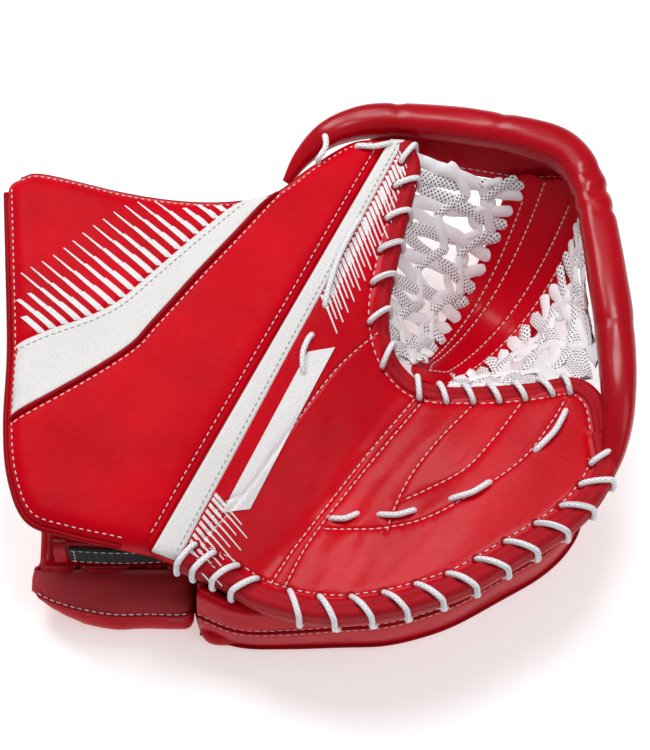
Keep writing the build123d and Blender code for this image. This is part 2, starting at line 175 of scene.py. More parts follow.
def side_of(line):
    """Unit normals to the right of a plan line, at each point."""
    t = np.gradient(line[:, :2], axis=0)
    t /= np.linalg.norm(t, axis=1)[:, None] + 1e-9
    return np.column_stack([t[:, 1], -t[:, 0]])


# ================= mesh makers =================

def make(name, verts, faces, material, uvs=None, smooth=True):
    """Mesh object from millimetre points; uvs holds one pair for each vertex."""
    mesh = bpy.data.meshes.new(name)
    points = (np.asarray(verts, float) + FRAME_SHIFT) * MM
    mesh.from_pydata([tuple(p) for p in points], [], [tuple(int(i) for i in f) for f in faces])
    if uvs is not None:
        layer = mesh.uv_layers.new(name="UVMap")
        index = np.array([loop.vertex_index for loop in mesh.loops])
        layer.data.foreach_set("uv", np.asarray(uvs, np.float32)[index].ravel())
    mesh.validate()
    mesh.polygons.foreach_set("use_smooth", [smooth] * len(mesh.polygons))
    obj = bpy.data.objects.new(name, mesh)
    bpy.context.scene.collection.objects.link(obj)
    obj.data.materials.append(material)
    return obj


class Stack:
    """Collects several small shapes into one mesh."""

    def __init__(self):
        self.verts, self.faces, self.uvs, self.count = [], [], [], 0

    def add(self, verts, faces, uvs=None):
        verts = np.asarray(verts, float)
        self.verts.append(verts)
        self.uvs.append(np.zeros((len(verts), 2)) if uvs is None else np.asarray(uvs, float))
        self.faces += [tuple(i + self.count for i in f) for f in faces]
        self.count += len(verts)

    def make(self, name, material, smooth=True):
        return make(name, np.vstack(self.verts), self.faces, material, np.vstack(self.uvs), smooth)


def wound(loop):
    """A plan loop run anticlockwise, the same loop closed, and its inward normals."""
    area = 0.5 * np.sum(loop[:, 0] * np.roll(loop[:, 1], -1) - np.roll(loop[:, 0], -1) * loop[:, 1])
    if area < 0:
        loop = loop[::-1]
    inward = -side_of(np.vstack([loop[-1:], loop, loop[:1]]))[1:-1]
    return loop, np.vstack([loop, loop[:1]]), inward


def panel(name, loop, height, thick, edge, material, lines=(), spacing=4.0, shape=None):
    """Padded panel over a closed plan loop.

    edge is (width, depth) of its rounded rim. lines are (plan line, half width, depth) for sewn
    grooves, and a negative depth stands proud. shape(points, z) may move the top further."""
    rim_width, rim_depth = edge
    loop, loop_closed, inward = wound(loop)
    points = [loop]
    for share in (0.06, 0.2, 0.42, 0.7, 1.0):
        ring = loop + inward * rim_width * share
        keep = inside(ring, loop)
        keep[keep] &= distance_to(ring[keep], loop_closed) > rim_width * share * 0.96
        points.append(ring[keep])
    for line, half, _ in lines:
        for offset in (-2.0, -1.0, -0.4, 0.0, 0.4, 1.0, 2.0):
            beside = line + side_of(line) * offset * half
            keep = inside(beside, loop)
            keep[keep] &= distance_to(beside[keep], loop_closed) > 0.3
            points.append(beside[keep])
    low, high = loop.min(0), loop.max(0)
    corners = np.array([(low[0], low[1]), (high[0], low[1]), (low[0], high[1]), high])
    a, b = ab(corners)
    grid = np.array([plan(u, v) for u in np.arange(a.min(), a.max(), spacing)
                     for v in np.arange(b.min(), b.max(), spacing)])
    grid = grid[inside(grid, loop)]
    grid = grid[distance_to(grid, loop_closed) > rim_width + spacing * 0.4]
    for line, half, _ in lines:
        if len(grid):
            grid = grid[distance_to(grid, line) > 2.0 * half + spacing * 0.3]
    points.append(grid)
    xy = np.vstack(points)
    kept, seen = [], set()
    for i, (x, y) in enumerate(xy):
        key = (round(x / 0.35), round(y / 0.35))
        if i < len(loop) or key not in seen:
            kept.append(i)
            seen.add(key)
    xy = xy[kept]
    border = [(i, (i + 1) % len(loop)) for i in range(len(loop))]
    verts, _, faces, *_ = geometry.delaunay_2d_cdt([Vector(p) for p in xy], border, [], 1, 1e-4)
    xy = np.array([tuple(v) for v in verts])
    faces = [tuple(f) for f in faces]
    d = distance_to(xy, loop_closed)
    roll = np.clip(1 - d / rim_width, 0, 1)
    drop = rim_depth * (1 - np.sqrt(np.clip(1 - roll**2, 0, 1)))
    top = height(xy) - drop
    for line, half, depth in lines:
        top -= depth * np.exp(-((distance_to(xy, line) / half) ** 2))
    if shape is not None:
        top = shape(xy, top)
    bottom = height(xy) - thick + drop
    count = len(xy)
    verts = np.vstack([np.column_stack([xy, top]), np.column_stack([xy, bottom])])
    edges = {}
    oriented = []
    for f in faces:
        (x0, y0), (x1, y1), (x2, y2) = xy[f[0]], xy[f[1]], xy[f[2]]
        if (x1 - x0) * (y2 - y0) - (x2 - x0) * (y1 - y0) < 0:
            f = f[::-1]
        oriented.append(f)
        for i in range(3):
            edges[(f[i], f[(i + 1) % 3])] = True
    sides = [(u, u + count, v + count, v) for u, v in edges if (v, u) not in edges]
    under = [tuple(i + count for i in reversed(f)) for f in oriented]
    return make(name, verts, oriented + under + sides, material)


def frames_along(path, up=None):
    """Side and up for each point of a 3-D path; up stays as near the given one as it can."""
    path = np.asarray(path, float)
    tangent = np.gradient(path, axis=0)
    tangent /= np.linalg.norm(tangent, axis=1)[:, None] + 1e-12
    ups = np.tile((0.0, 0.0, 1.0), (len(path), 1)) if up is None else np.asarray(up, float)
    if up is None and abs(tangent[:, 2]).max() > 0.9:
        ups = [np.array((1.0, 0.3, 0.2))]
        for t in tangent[1:]:
            ups.append(ups[-1] - t * (ups[-1] @ t))
        ups = np.array(ups)
    side = np.cross(tangent, ups)
    side /= np.linalg.norm(side, axis=1)[:, None] + 1e-12
    return side, np.cross(side, tangent)


def loft(stack, rings):
    """Closed rings of equal size joined in turn; u runs along in metres, v round from 0 to 1."""
    rings = np.asarray(rings, float)
    n, m = rings.shape[:2]
    verts = rings.reshape(-1, 3)
    faces = [(i * m + j, i * m + (j + 1) % m, (i + 1) * m + (j + 1) % m, (i + 1) * m + j)
             for i in range(n - 1) for j in range(m)]
    faces += [tuple(range(m))[::-1], tuple((n - 1) * m + j for j in range(m))]
    reach = np.concatenate([[0], np.cumsum(np.linalg.norm(np.diff(rings.mean(1), axis=0), axis=1))]) * MM
    uvs = np.array([(reach[i], j / m) for i in range(n) for j in range(m)])
    stack.add(verts, faces, uvs)


def tube(stack, path, radius, sides=10):
    """Round cord."""
    path = np.asarray(path, float)
    side, up = frames_along(path)
    angles = np.linspace(0, 2 * math.pi, sides, endpoint=False)
    rings = [p + radius * (np.cos(angles)[:, None] * s + np.sin(angles)[:, None] * u)
             for p, s, u in zip(path, side, up)]
    loft(stack, rings)


def sweep(stack, path, profile, outward):
    """Closed profile of (outward, up) points swept along a path with given plan directions outward."""
    outward = np.column_stack([outward, np.zeros(len(outward))])
    up = np.array((0.0, 0.0, 1.0))
    rings = [p + np.array([o * q[0] + up * q[1] for q in profile]) for p, o in zip(path, outward)]
    loft(stack, rings)


def stitches(stack, line, normals=None, length=3.3, gap=1.5, width=0.85, proud=0.45):
    """Row of thread stitches along a 3-D line."""
    line = resample(line, 0.5)
    if normals is None:
        normals = np.tile((0.0, 0.0, 1.0), (len(line), 1))
    else:
        normals = np.asarray(normals)[np.linspace(0, len(normals) - 1, len(line)).astype(int)]
    per, hole = int(length / 0.5), int(gap / 0.5)
    angles = np.linspace(0, 2 * math.pi, 6, endpoint=False)
    for i in range(0, len(line) - per, per + hole):
        part = line[i:i + per + 1:max(1, per // 3)]
        if len(part) < 3:
            continue
        side, up = frames_along(part, normals[i:i + per + 1:max(1, per // 3)])
        rings = []
        for k, (p, s, u) in enumerate(zip(part, side, up)):
            share = math.sin(math.pi * (k + 0.35) / (len(part) - 0.3))
            w, h = width / 2 * (0.5 + 0.5 * share), proud * share
            rings.append(p + np.cos(angles)[:, None] * s * w + (np.sin(angles)[:, None] * 0.5 + 0.2) * u * h)
        loft(stack, rings)


# ================= materials =================

def new_material(name):
    mat = bpy.data.materials.new(name)
    mat.use_nodes = True
    nodes, links = mat.node_tree.nodes, mat.node_tree.links
    shader = nodes["Principled BSDF"]
    return mat, nodes, links, shader


def texture(nodes, links, kind, coords, **values):
    node = nodes.new(kind)
    links.new(coords, node.inputs["Vector"])
    for key, value in values.items():
        if key in node.inputs:
            node.inputs[key].default_value = value
        else:
            setattr(node, key, value)
    return node


def ramp(nodes, links, source, stops):
    node = nodes.new("ShaderNodeValToRGB")
    links.new(source, node.inputs["Fac"])
    elements = node.color_ramp.elements
    for i, (at, colour) in enumerate(stops):
        element = elements[i] if i < 2 else elements.new(at)
        element.position = at
        element.color = (*colour, 1)
    return node.outputs["Color"]


def mix(nodes, links, factor, first, second, blend="MIX"):
    node = nodes.new("ShaderNodeMix")
    node.data_type = "RGBA"
    node.blend_type = blend
    for value, socket in ((factor, node.inputs[0]), (first, node.inputs[6]), (second, node.inputs[7])):
        if isinstance(value, (int, float)):
            socket.default_value = value
        elif isinstance(value, tuple):
            socket.default_value = (*value, 1)
        else:
            links.new(value, socket)
    return node.outputs[2]


def maths(nodes, links, kind, *values):
    node = nodes.new("ShaderNodeMath")
    node.operation = kind
    for value, socket in zip(values, node.inputs):
        if isinstance(value, (int, float)):
            socket.default_value = value
        else:
            links.new(value, socket)
    return node.outputs[0]


def bump(nodes, links, heights, shader):
    """Chain of bumps: (height socket, strength, distance in metres)."""
    last = None
    for height, strength, distance in heights:
        node = nodes.new("ShaderNodeBump")
        node.inputs["Strength"].default_value = strength
        node.inputs["Distance"].default_value = distance
        links.new(height, node.inputs["Height"])
        if last is not None:
            links.new(last, node.inputs["Normal"])
        last = node.outputs["Normal"]
    links.new(last, shader.inputs["Normal"])


def leather(name, colour, rough, pebble=900.0, pebble_depth=0.5, wrinkle_depth=0.25, coat=0.0, tint=0.16):
    """Coated leather: pebble grain, fine wrinkles, soft colour drift and uneven sheen."""
    mat, nodes, links, shader = new_material(name)
    coords = nodes.new("ShaderNodeTexCoord").outputs["Object"]
    cells = texture(nodes, links, "ShaderNodeTexVoronoi", coords, Scale=pebble, Randomness=1.0,
                    feature="SMOOTH_F1", Smoothness=0.6)
    wrinkles = texture(nodes, links, "ShaderNodeTexNoise", coords, Scale=140.0, Detail=6.0, Roughness=0.6,
                       Distortion=1.2)
    drift = texture(nodes, links, "ShaderNodeTexNoise", coords, Scale=18.0, Detail=4.0)
    fine = texture(nodes, links, "ShaderNodeTexNoise", coords, Scale=2600.0, Detail=2.0)
    dark = tuple(c * (1 - tint) for c in colour)
    light = tuple(min(1.0, c * (1 + tint * 0.7)) for c in colour)
    base = ramp(nodes, links, drift.outputs["Fac"], [(0.3, dark), (0.7, light)])
    pores = ramp(nodes, links, cells.outputs["Distance"], [(0.15, (1, 1, 1)), (0.75, (0.8, 0.78, 0.78))])
    colour_out = mix(nodes, links, 0.8, base, pores, "MULTIPLY")
    links.new(colour_out, shader.inputs["Base Color"])
    shine = maths(nodes, links, "MULTIPLY_ADD", wrinkles.outputs["Fac"], 0.22, rough - 0.11)
    links.new(shine, shader.inputs["Roughness"])
    shader.inputs["Coat Weight"].default_value = coat
    shader.inputs["Coat Roughness"].default_value = 0.22
    shader.inputs["Specular IOR Level"].default_value = 0.05
    bump(nodes, links, [(wrinkles.outputs["Fac"], wrinkle_depth, 0.0012),
                        (cells.outputs["Distance"], -pebble_depth, 0.0003),
                        (fine.outputs["Fac"], 0.15, 0.0001)], shader)
    return mat


def woven(name, colour, threads, rough, depth, sheen=0.05, contrast=0.3):
    """Plain-weave cloth from two crossed waves."""
    mat, nodes, links, shader = new_material(name)
    coords = nodes.new("ShaderNodeTexCoord").outputs["Object"]
    warp = texture(nodes, links, "ShaderNodeTexWave", coords, Scale=threads / 6.28, Distortion=0.4,
                   bands_direction="X")
    weft = texture(nodes, links, "ShaderNodeTexWave", coords, Scale=threads / 6.28, Distortion=0.4,
                   bands_direction="Y")
    cloud = texture(nodes, links, "ShaderNodeTexNoise", coords, Scale=60.0, Detail=5.0)
    height = maths(nodes, links, "MULTIPLY", warp.outputs["Fac"], weft.outputs["Fac"])
    dark = tuple(c * (1 - contrast) for c in colour)
    weave = ramp(nodes, links, height, [(0.1, dark), (0.8, colour)])
    patchy = ramp(nodes, links, cloud.outputs["Fac"], [(0.3, (0.82, 0.82, 0.82)), (0.7, (1, 1, 1))])
    links.new(mix(nodes, links, 1.0, weave, patchy, "MULTIPLY"), shader.inputs["Base Color"])
    shader.inputs["Roughness"].default_value = rough
    shader.inputs["Sheen Weight"].default_value = sheen
    bump(nodes, links, [(height, depth, 0.0003), (cloud.outputs["Fac"], 0.15, 0.001)], shader)
    return mat


def ribbed_tape(name, colour, ribs=1100.0):
    """Binding tape with fine ribs across its length, set out by the piece's own u."""
    mat, nodes, links, shader = new_material(name)
    uv = nodes.new("ShaderNodeTexCoord").outputs["UV"]
    split = nodes.new("ShaderNodeSeparateXYZ")
    links.new(uv, split.inputs[0])
    turns = maths(nodes, links, "MULTIPLY", split.outputs["X"], ribs * 2 * math.pi)
    wave = maths(nodes, links, "SINE", turns)
    height = maths(nodes, links, "MULTIPLY_ADD", wave, 0.5, 0.5)
    coords = nodes.new("ShaderNodeTexCoord").outputs["Object"]
    cloud = texture(nodes, links, "ShaderNodeTexNoise", coords, Scale=150.0, Detail=5.0)
    dark = tuple(c * 0.72 for c in colour)
    ribs_colour = ramp(nodes, links, height, [(0.1, dark), (0.9, colour)])
    patchy = ramp(nodes, links, cloud.outputs["Fac"], [(0.3, (0.78, 0.78, 0.78)), (0.7, (1, 1, 1))])
    links.new(mix(nodes, links, 1.0, ribs_colour, patchy, "MULTIPLY"), shader.inputs["Base Color"])
    shader.inputs["Roughness"].default_value = 0.6
    shader.inputs["Specular IOR Level"].default_value = 0.2
    bump(nodes, links, [(height, 0.5, 0.0003), (cloud.outputs["Fac"], 0.3, 0.0006)], shader)
    return mat


def braided(name, colour, pitch=330.0, strands=6.0):
    """Round lace: two helical families of strands crossing, by the lace's own u and v."""
    mat, nodes, links, shader = new_material(name)
    split = nodes.new("ShaderNodeSeparateXYZ")
    links.new(nodes.new("ShaderNodeTexCoord").outputs["UV"], split.inputs[0])
    along = maths(nodes, links, "MULTIPLY", split.outputs["X"], pitch * 2 * math.pi)
    around = maths(nodes, links, "MULTIPLY", split.outputs["Y"], strands * 2 * math.pi)
    one = maths(nodes, links, "SINE", maths(nodes, links, "ADD", along, around))
    two = maths(nodes, links, "SINE", maths(nodes, links, "SUBTRACT", along, around))
    height = maths(nodes, links, "MAXIMUM", one, two)
    dark = tuple(c * 0.84 for c in colour)
    links.new(ramp(nodes, links, height, [(0.0, dark), (0.7, colour)]), shader.inputs["Base Color"])
    shader.inputs["Roughness"].default_value = 0.62
    shader.inputs["Sheen Weight"].default_value = 0.2
    shader.inputs["Subsurface Weight"].default_value = 0.05
    bump(nodes, links, [(height, 0.7, 0.0003)], shader)
    return mat


def flat_lace(name, colour, dotted):
    """Flat woven lace; the dotted one carries rows of small black flecks on a slant."""
    mat, nodes, links, shader = new_material(name)
    split = nodes.new("ShaderNodeSeparateXYZ")
    links.new(nodes.new("ShaderNodeTexCoord").outputs["UV"], split.inputs[0])
    u, v = split.outputs["X"], split.outputs["Y"]
    fine_u = maths(nodes, links, "SINE", maths(nodes, links, "MULTIPLY", u, 2 * math.pi * 1500))
    fine_v = maths(nodes, links, "SINE", maths(nodes, links, "MULTIPLY", v, 2 * math.pi * 2 * 9))
    weave = maths(nodes, links, "MULTIPLY_ADD", maths(nodes, links, "ADD", fine_u, fine_v), 0.25, 0.5)
    white = ramp(nodes, links, weave, [(0.0, tuple(c * 0.8 for c in colour)), (0.6, colour)])
    out = white
    if dotted:
        along = maths(nodes, links, "MULTIPLY", u, 300.0)
        over = maths(nodes, links, "MULTIPLY", v, 2.5)
        slant = maths(nodes, links, "ADD", along, over)
        other = maths(nodes, links, "SUBTRACT", along, over)
        one = maths(nodes, links, "SINE", maths(nodes, links, "MULTIPLY", slant, 2 * math.pi))
        two = maths(nodes, links, "SINE", maths(nodes, links, "MULTIPLY", other, 2 * math.pi))
        dots = maths(nodes, links, "MULTIPLY", maths(nodes, links, "GREATER_THAN", one, 0.0),
                     maths(nodes, links, "GREATER_THAN", two, 0.0))
        out = mix(nodes, links, dots, white, (0.025, 0.025, 0.03))
    links.new(out, shader.inputs["Base Color"])
    shader.inputs["Roughness"].default_value = 0.6
    shader.inputs["Sheen Weight"].default_value = 0.25
    bump(nodes, links, [(weave, 0.5, 0.0002)], shader)
    return mat


RED = (0.60, 0.0, 0.009)
M_CUFF = leather("grained red leather", RED, 0.44, pebble=1000, pebble_depth=0.6, wrinkle_depth=0.2)
M_PALM = leather("smooth red palm leather", (0.57, 0.0, 0.009), 0.34, pebble=1700, pebble_depth=0.25,
                 wrinkle_depth=0.3, coat=0.1)
# Painted shade: the roll leather's red is set darker than the palm's red, standing in for the shade on the
# round padded roll.
M_ROLL_PAINTED_SHADE = leather("glossy red roll leather with painted shade", (0.43, 0.0, 0.008), 0.30, pebble=1500, pebble_depth=0.3,
                 wrinkle_depth=0.35, coat=0.4)
M_BACK = leather("red back leather", (0.55, 0.001, 0.012), 0.40, pebble=1000, pebble_depth=0.5,
                 wrinkle_depth=0.45, coat=0.1)
M_WHITE = leather("white leather", (0.78, 0.78, 0.77), 0.46, pebble=1500, pebble_depth=0.3,
                  wrinkle_depth=0.1, tint=0.03)
M_PRINT = leather("white print", (0.84, 0.83, 0.84), 0.5, pebble=1300, pebble_depth=0.3,
                  wrinkle_depth=0.05, tint=0.02)
M_SEAM = leather("dark red piping", (0.33, 0.002, 0.008), 0.4, pebble=1500, pebble_depth=0.3,
                 wrinkle_depth=0.2)
M_TAPE = ribbed_tape("red binding tape", (0.52, 0.002, 0.013))
M_NYLON = woven("red nylon weave", (0.62, 0.002, 0.018), threads=5200, rough=0.62, depth=0.6)
M_WEBBING = woven("red webbing", (0.50, 0.002, 0.014), threads=5000, rough=0.66, depth=0.8)
M_LOOP = woven("black loop pile", (0.006, 0.006, 0.009), threads=7000, rough=0.95, depth=1.0)
M_LINING = woven("dark lining", (0.045, 0.045, 0.05), threads=4200, rough=0.85, depth=0.7)
M_LACE = braided("white round lace", (0.92, 0.91, 0.95))
M_NET = flat_lace("white flat lace", (0.95, 0.94, 0.97), False)
M_NET_DOTS = flat_lace("flecked flat lace", (0.95, 0.94, 0.97), True)
M_THREAD = braided("white thread", (0.86, 0.84, 0.84), pitch=900.0, strands=2.0)
M_GREY_THREAD = braided("grey thread", (0.50, 0.50, 0.49), pitch=900.0, strands=2.0)


# ================= joining pieces to the frame =================

def ray_tree(mesh):
    """Search tree of a mesh, for rays cast onto its real surface."""
    return BVHTree.FromPolygons([v.co.copy() for v in mesh.vertices],
                                [tuple(p.vertices) for p in mesh.polygons])


def probe(obj, fallback):
    """Height function that reads an object's real surface from above."""
    tree = ray_tree(obj.data)

    def height(xy):
        out = fallback(xy)
        for i, (x, y) in enumerate(np.atleast_2d(xy)):
            above = Vector(((x + FRAME_SHIFT[0]) * MM, (y + FRAME_SHIFT[1]) * MM, 0.4))
            hit = tree.ray_cast(above, Vector((0, 0, -1)))[0]
            if hit is not None and abs(hit.z / MM - out[i]) < 14:
                out[i] = hit.z / MM
        return out

    return height


def bend(piece):
    """Bakes the transform of a piece on the palm or pocket into its mesh."""
    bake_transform(piece)
    return piece


# ================= cuff =================

def cuff_loop():
    top = catmull(CUFF_TOP, 2.5)
    left = resample(STRIPE_LEFT, 2.5)
    end = catmull(CUFF_END, 2.5)
    return np.vstack([top[:-1], left[:-1], end[:-1]])


SWOOSH_TOP = catmull(SWOOSH_UPPER, 2.0)
SWOOSH_FOOT = catmull(SWOOSH_LOWER, 2.0)


def inset_lines(line, offset):
    return line + side_of(line) * offset


def cuff_height(xy):
    """The catching face with a soft crown over each of the cuff's padded fields."""
    z = face_z(xy)
    x, y = xy[..., 0], xy[..., 1]
    z = z + 2.2 * np.exp(-(((x + 135) / 60) ** 2 + ((y - 70) / 45) ** 2))
    return z + 1.8 * np.exp(-(((x + 90) / 75) ** 2 + ((y + 30) / 70) ** 2))


def make_cuff():
    loop = cuff_loop()
    grooves = [(SWOOSH_TOP, 1.6, 1.2), (inset_lines(SWOOSH_FOOT, 2.6), 1.5, 1.6),
               (inset_lines(resample(STRIPE_LEFT, 2.0), 4.5), 1.3, 1.0)]

    def wrinkled(xy, z):
        soft = np.array([noise.fractal(Vector((x * 0.02, y * 0.02, 3.1)), 1.0, 2.0, 3) for x, y in xy])
        return z + 0.9 * soft

    cuff = panel("cuff_cover_leather", loop, cuff_height, CUFF_THICK, (11.0, 9.0), M_CUFF, grooves, 5.0,
                 wrinkled)
    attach(cuff, "thumb_cuff")
    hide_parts("cuff_cover", "cuff_firm_foam", "cuff_board", "cuff_soft_foam")

    lining = panel("cuff_lining", inset_loop(loop, 9.0), lambda xy: face_z(xy) - CUFF_THICK + 0.8, 1.6,
                   (1.5, 0.6), M_LINING, (), 9.0)
    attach(lining, "thumb_cuff")
    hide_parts("cuff_liner")

    hem = Stack()
    edge = catmull(CUFF_END[1:-1], 2.0)
    hem_path = lift(edge - side_of(edge) * 0.6, cuff_height, -8.0)
    tube(hem, hem_path, 1.9, 8)
    top_edge = catmull(CUFF_TOP, 2.0)
    tube(hem, lift(top_edge + side_of(top_edge) * -0.2, cuff_height, -9.5), 1.7, 8)
    piping = hem.make("cuff_piping", M_SEAM)
    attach(piping, "thumb_cuff")
    return probe(cuff, cuff_top_z)


def inset_loop(loop, amount):
    """Closed loop moved inwards, with points that would cross it dropped."""
    loop, loop_closed, inward = wound(loop)
    moved = loop + inward * amount
    keep = inside(moved, loop)
    keep[keep] &= distance_to(moved[keep], loop_closed) > amount * 0.97
    return moved[keep]


def strip_loop(one, other):
    return np.vstack([one, other[::-1]])


def make_inlays(cuff_z):
    swoosh = panel("swoosh_inlay", strip_loop(SWOOSH_TOP, SWOOSH_FOOT), lambda xy: cuff_z(xy) + 0.9, 2.5,
                   (1.6, 0.9), M_WHITE, (), 3.0)
    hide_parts("swoosh_stripe")
    left, right = resample(STRIPE_LEFT, 3.0), resample(STRIPE_RIGHT, 3.0)
    stripe = panel("break_stripe_inlay", strip_loop(left, right), lambda xy: face_z(xy) + 0.9, 4.0,
                   (1.8, 1.1), M_WHITE, (), 4.0)
    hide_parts("break_stripe")
    for piece in (swoosh, stripe):
        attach(piece, "thumb_cuff")
    seam = Stack()
    foot = inset_lines(SWOOSH_FOOT, 1.0)
    tube(seam, lift(foot, cuff_z, 0.1), 1.5, 8)
    tube(seam, lift(inset_lines(left, 1.2), cuff_z, -0.3), 1.2, 8)
    piping = seam.make("inlay_piping", M_SEAM)
    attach(piping, "thumb_cuff")
    return probe(swoosh, cuff_top_z), probe(stripe, face_z)


def edge_fall(xy, z):
    """Follows the cuff down at its rounded end."""
    d = np.minimum(distance_to(xy, catmull(CUFF_END, 3.0)), distance_to(xy, catmull(CUFF_TOP, 3.0)))
    roll = np.clip(1 - d / 11.0, 0, 1)
    return z - 9.0 * (1 - np.sqrt(np.clip(1 - roll**2, 0, 1)))


def cuff_top_z(xy):
    return edge_fall(xy, cuff_height(xy))


def make_cuff_stitching(cuff_z, swoosh_z, stripe_z):
    white, grey = Stack(), Stack()
    stitches(white, lift(inset_lines(SWOOSH_FOOT, 4.6), cuff_z, 0.05))
    stitches(grey, lift(inset_lines(SWOOSH_TOP, 4.5), swoosh_z, 0.05), length=2.6, gap=1.6)
    left = resample(STRIPE_LEFT, 2.0)
    stitches(white, lift(inset_lines(left, 5.6)[3:-3], cuff_z, 0.05))
    right = resample(STRIPE_RIGHT, 2.0)
    stitches(grey, lift(inset_lines(right, 2.6)[2:-2], stripe_z, 0.05), length=2.6, gap=1.6)
    end = catmull(CUFF_END[1:-1], 2.0)
    stitches(white, lift(inset_lines(end, 3.2), cuff_z, 0.05), length=2.6, gap=2.2)
    top = catmull(CUFF_TOP, 2.0)
    stitches(white, lift(inset_lines(top, 4.0), cuff_z, 0.05), length=2.4, gap=2.4)
    jobs = (("cuff_white_stitching", white, M_THREAD), ("inlay_grey_stitching", grey, M_GREY_THREAD))
    for name, stack, mat in jobs:
        piece = stack.make(name, mat)
        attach(piece, "thumb_cuff")


def decal_bar(stack, start, end, start_width, end_width, height, lead, up=0.35):
    """Thin printed bar lying on a surface; its ends run along lead."""
    start, end = np.array(start, float), np.array(end, float)
    run = end - start
    count = max(2, int(np.linalg.norm(run) / 1.8) + 1)
    columns = max(2, int(start_width / 2.0) + 1)
    across = np.array(lead, float)
    across /= np.linalg.norm(across)
    rows = []
    for t in np.linspace(0, 1, count):
        half = (start_width + (end_width - start_width) * t) / 2
        rows += [start + run * t + across * half * c for c in np.linspace(-1, 1, columns)]
    xy = np.array(rows)
    top = np.column_stack([xy, height(xy) + up])
    faces = []
    for i in range(count - 1):
        for j in range(columns - 1):
            k = i * columns + j
            faces.append((k, k + 1, k + columns + 1, k + columns))
    stack.add(top, faces)


def make_cuff_hashes(cuff_z):
    """Slanted speed lines above the swoosh: each steps from thin to wide as it nears it."""
    stack = Stack()
    edge = resample(SWOOSH_TOP, count=240)
    outline = cuff_loop()
    rims = (catmull(CUFF_END, 3.0), catmull(CUFF_TOP, 3.0))
    lean = np.array([-0.74, 0.68])
    across = np.array([1.0, 0.0])
    for i in range(22):
        share = 0.02 + 0.94 * i / 21
        foot = edge[int(share * 239)]
        rise = 10.0 * math.sin(math.pi * min(1.0, share * 1.2))
        reach = 38.0 + rise - 30.0 * max(0.0, share - 0.72) / 0.28
        marks = [0.0, 0.36 * reach, 0.66 * reach, reach]
        widths = [(4.6, 4.2), (3.4, 2.6), (1.9, 0.9)]
        for near, far, (w0, w1) in zip(marks, marks[1:], widths):
            p, q = foot + lean * near, foot + lean * far
            shift = across * (w0 - 4.6) / 2
            p, q = p + shift, q + shift
            bar = np.array([p, (p + q) / 2, q])
            if not inside(bar, outline).all() or min(distance_to(bar, rim).min() for rim in rims) < 2.5:
                continue
            decal_bar(stack, p, q, w0, w1, cuff_z, lead=(1.0, 0.15))
    piece = stack.make("cuff_speed_lines", M_PRINT, smooth=False)
    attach(piece, "thumb_cuff")


def make_stripe_hashes(palm_top):
    """Speed lines beside the straight stripe, and the plain printed bar between them."""
    stack = Stack()
    right = resample(STRIPE_RIGHT, count=301)
    groups = (  # first share of the stripe, last share, count, direction, cut, reach
        (0.015, 0.385, 30, np.array([0.36, -0.93]), (0.95, 0.30), 25.0),
        (0.85, 0.98, 11, np.array([0.72, -0.69]), (0.5, 0.86), 28.0))
    for first, last, count, lean, cut, reach in groups:
        for i in range(count):
            share = first + (last - first) * i / (count - 1)
            foot = right[int(share * 300)] + np.array([0.6, -0.6])
            long = reach * (1.0 if i % 2 else 0.78)
            decal_bar(stack, foot, foot + lean * 9.0, 2.3, 2.1, palm_top, lead=cut)
            decal_bar(stack, foot + lean * 9.0, foot + lean * long, 1.25, 0.75, palm_top, lead=cut)
    piece = stack.make("palm_speed_lines", M_PRINT, smooth=False)
    bend(piece)

    plate = Stack()
    run = np.array([0.445, 0.895])
    low = np.array([-48.0, -93.0])
    high = low + run * 112.0
    decal_bar(plate, low, high, 17.0, 17.0, palm_top, (1.0, 0.28), up=0.8)
    piece = plate.make("blank_name_bar", M_PRINT, smooth=False)
    bend(piece)


# ================= palm =================

PALM_SEAMS = {
    "thumb_seam": [(39, 26), (10, -4), (-20, -48), (-44, -84), (-68, -113)],
    "double_seam_one": [(58, -14), (22, -60), (-10, -104), (-28, -133)],
    "double_seam_two": [(64, -14), (28, -60), (-4, -104), (-20, -136)],
    "index_seam": [(92, -22), (70, -46), (54, -68), (44, -90), (40, -104)],
    "ring_seam_down": [(120, -24), (104, -46), (86, -66), (62, -78), (48, -84)],
    "heel_curve": [(4, -98), (30, -101), (62, -97), (92, -82), (120, -62), (138, -38), (146, -24)],
    "heel_line": [(-66, -112), (-58, -92), (-46, -84)],
}


def palm_z(xy):
    """The catching face with the palm's soft folds near the heel and its padded lobes."""
    z = face_z(xy)
    a, b = ab(xy)
    z = z + 1.6 * np.exp(-(((a + 105) / 26) ** 2 + ((b + 14) / 9) ** 2))
    z = z - 1.8 * np.exp(-(((a + 98) / 30) ** 2 + ((b - 1) / 6) ** 2))
    z = z + 1.2 * np.exp(-(((a + 60) / 45) ** 2 + ((b + 30) / 12) ** 2))
    z = z + 1.5 * np.exp(-(((a + 20) / 32) ** 2 + ((b - 34) / 14) ** 2))
    return z + 1.2 * np.exp(-(((a + 50) / 40) ** 2 + ((b - 70) / 18) ** 2))


def palm_loop():
    stripe = resample([STRIPE_LEFT[1], STRIPE_LEFT[0]], 3.0)
    pocket = catmull(POCKET_EDGE, 2.5)
    rim = catmull(RIM, 2.5)
    return np.vstack([stripe[:-1], pocket[:-1], rim[:-1]])


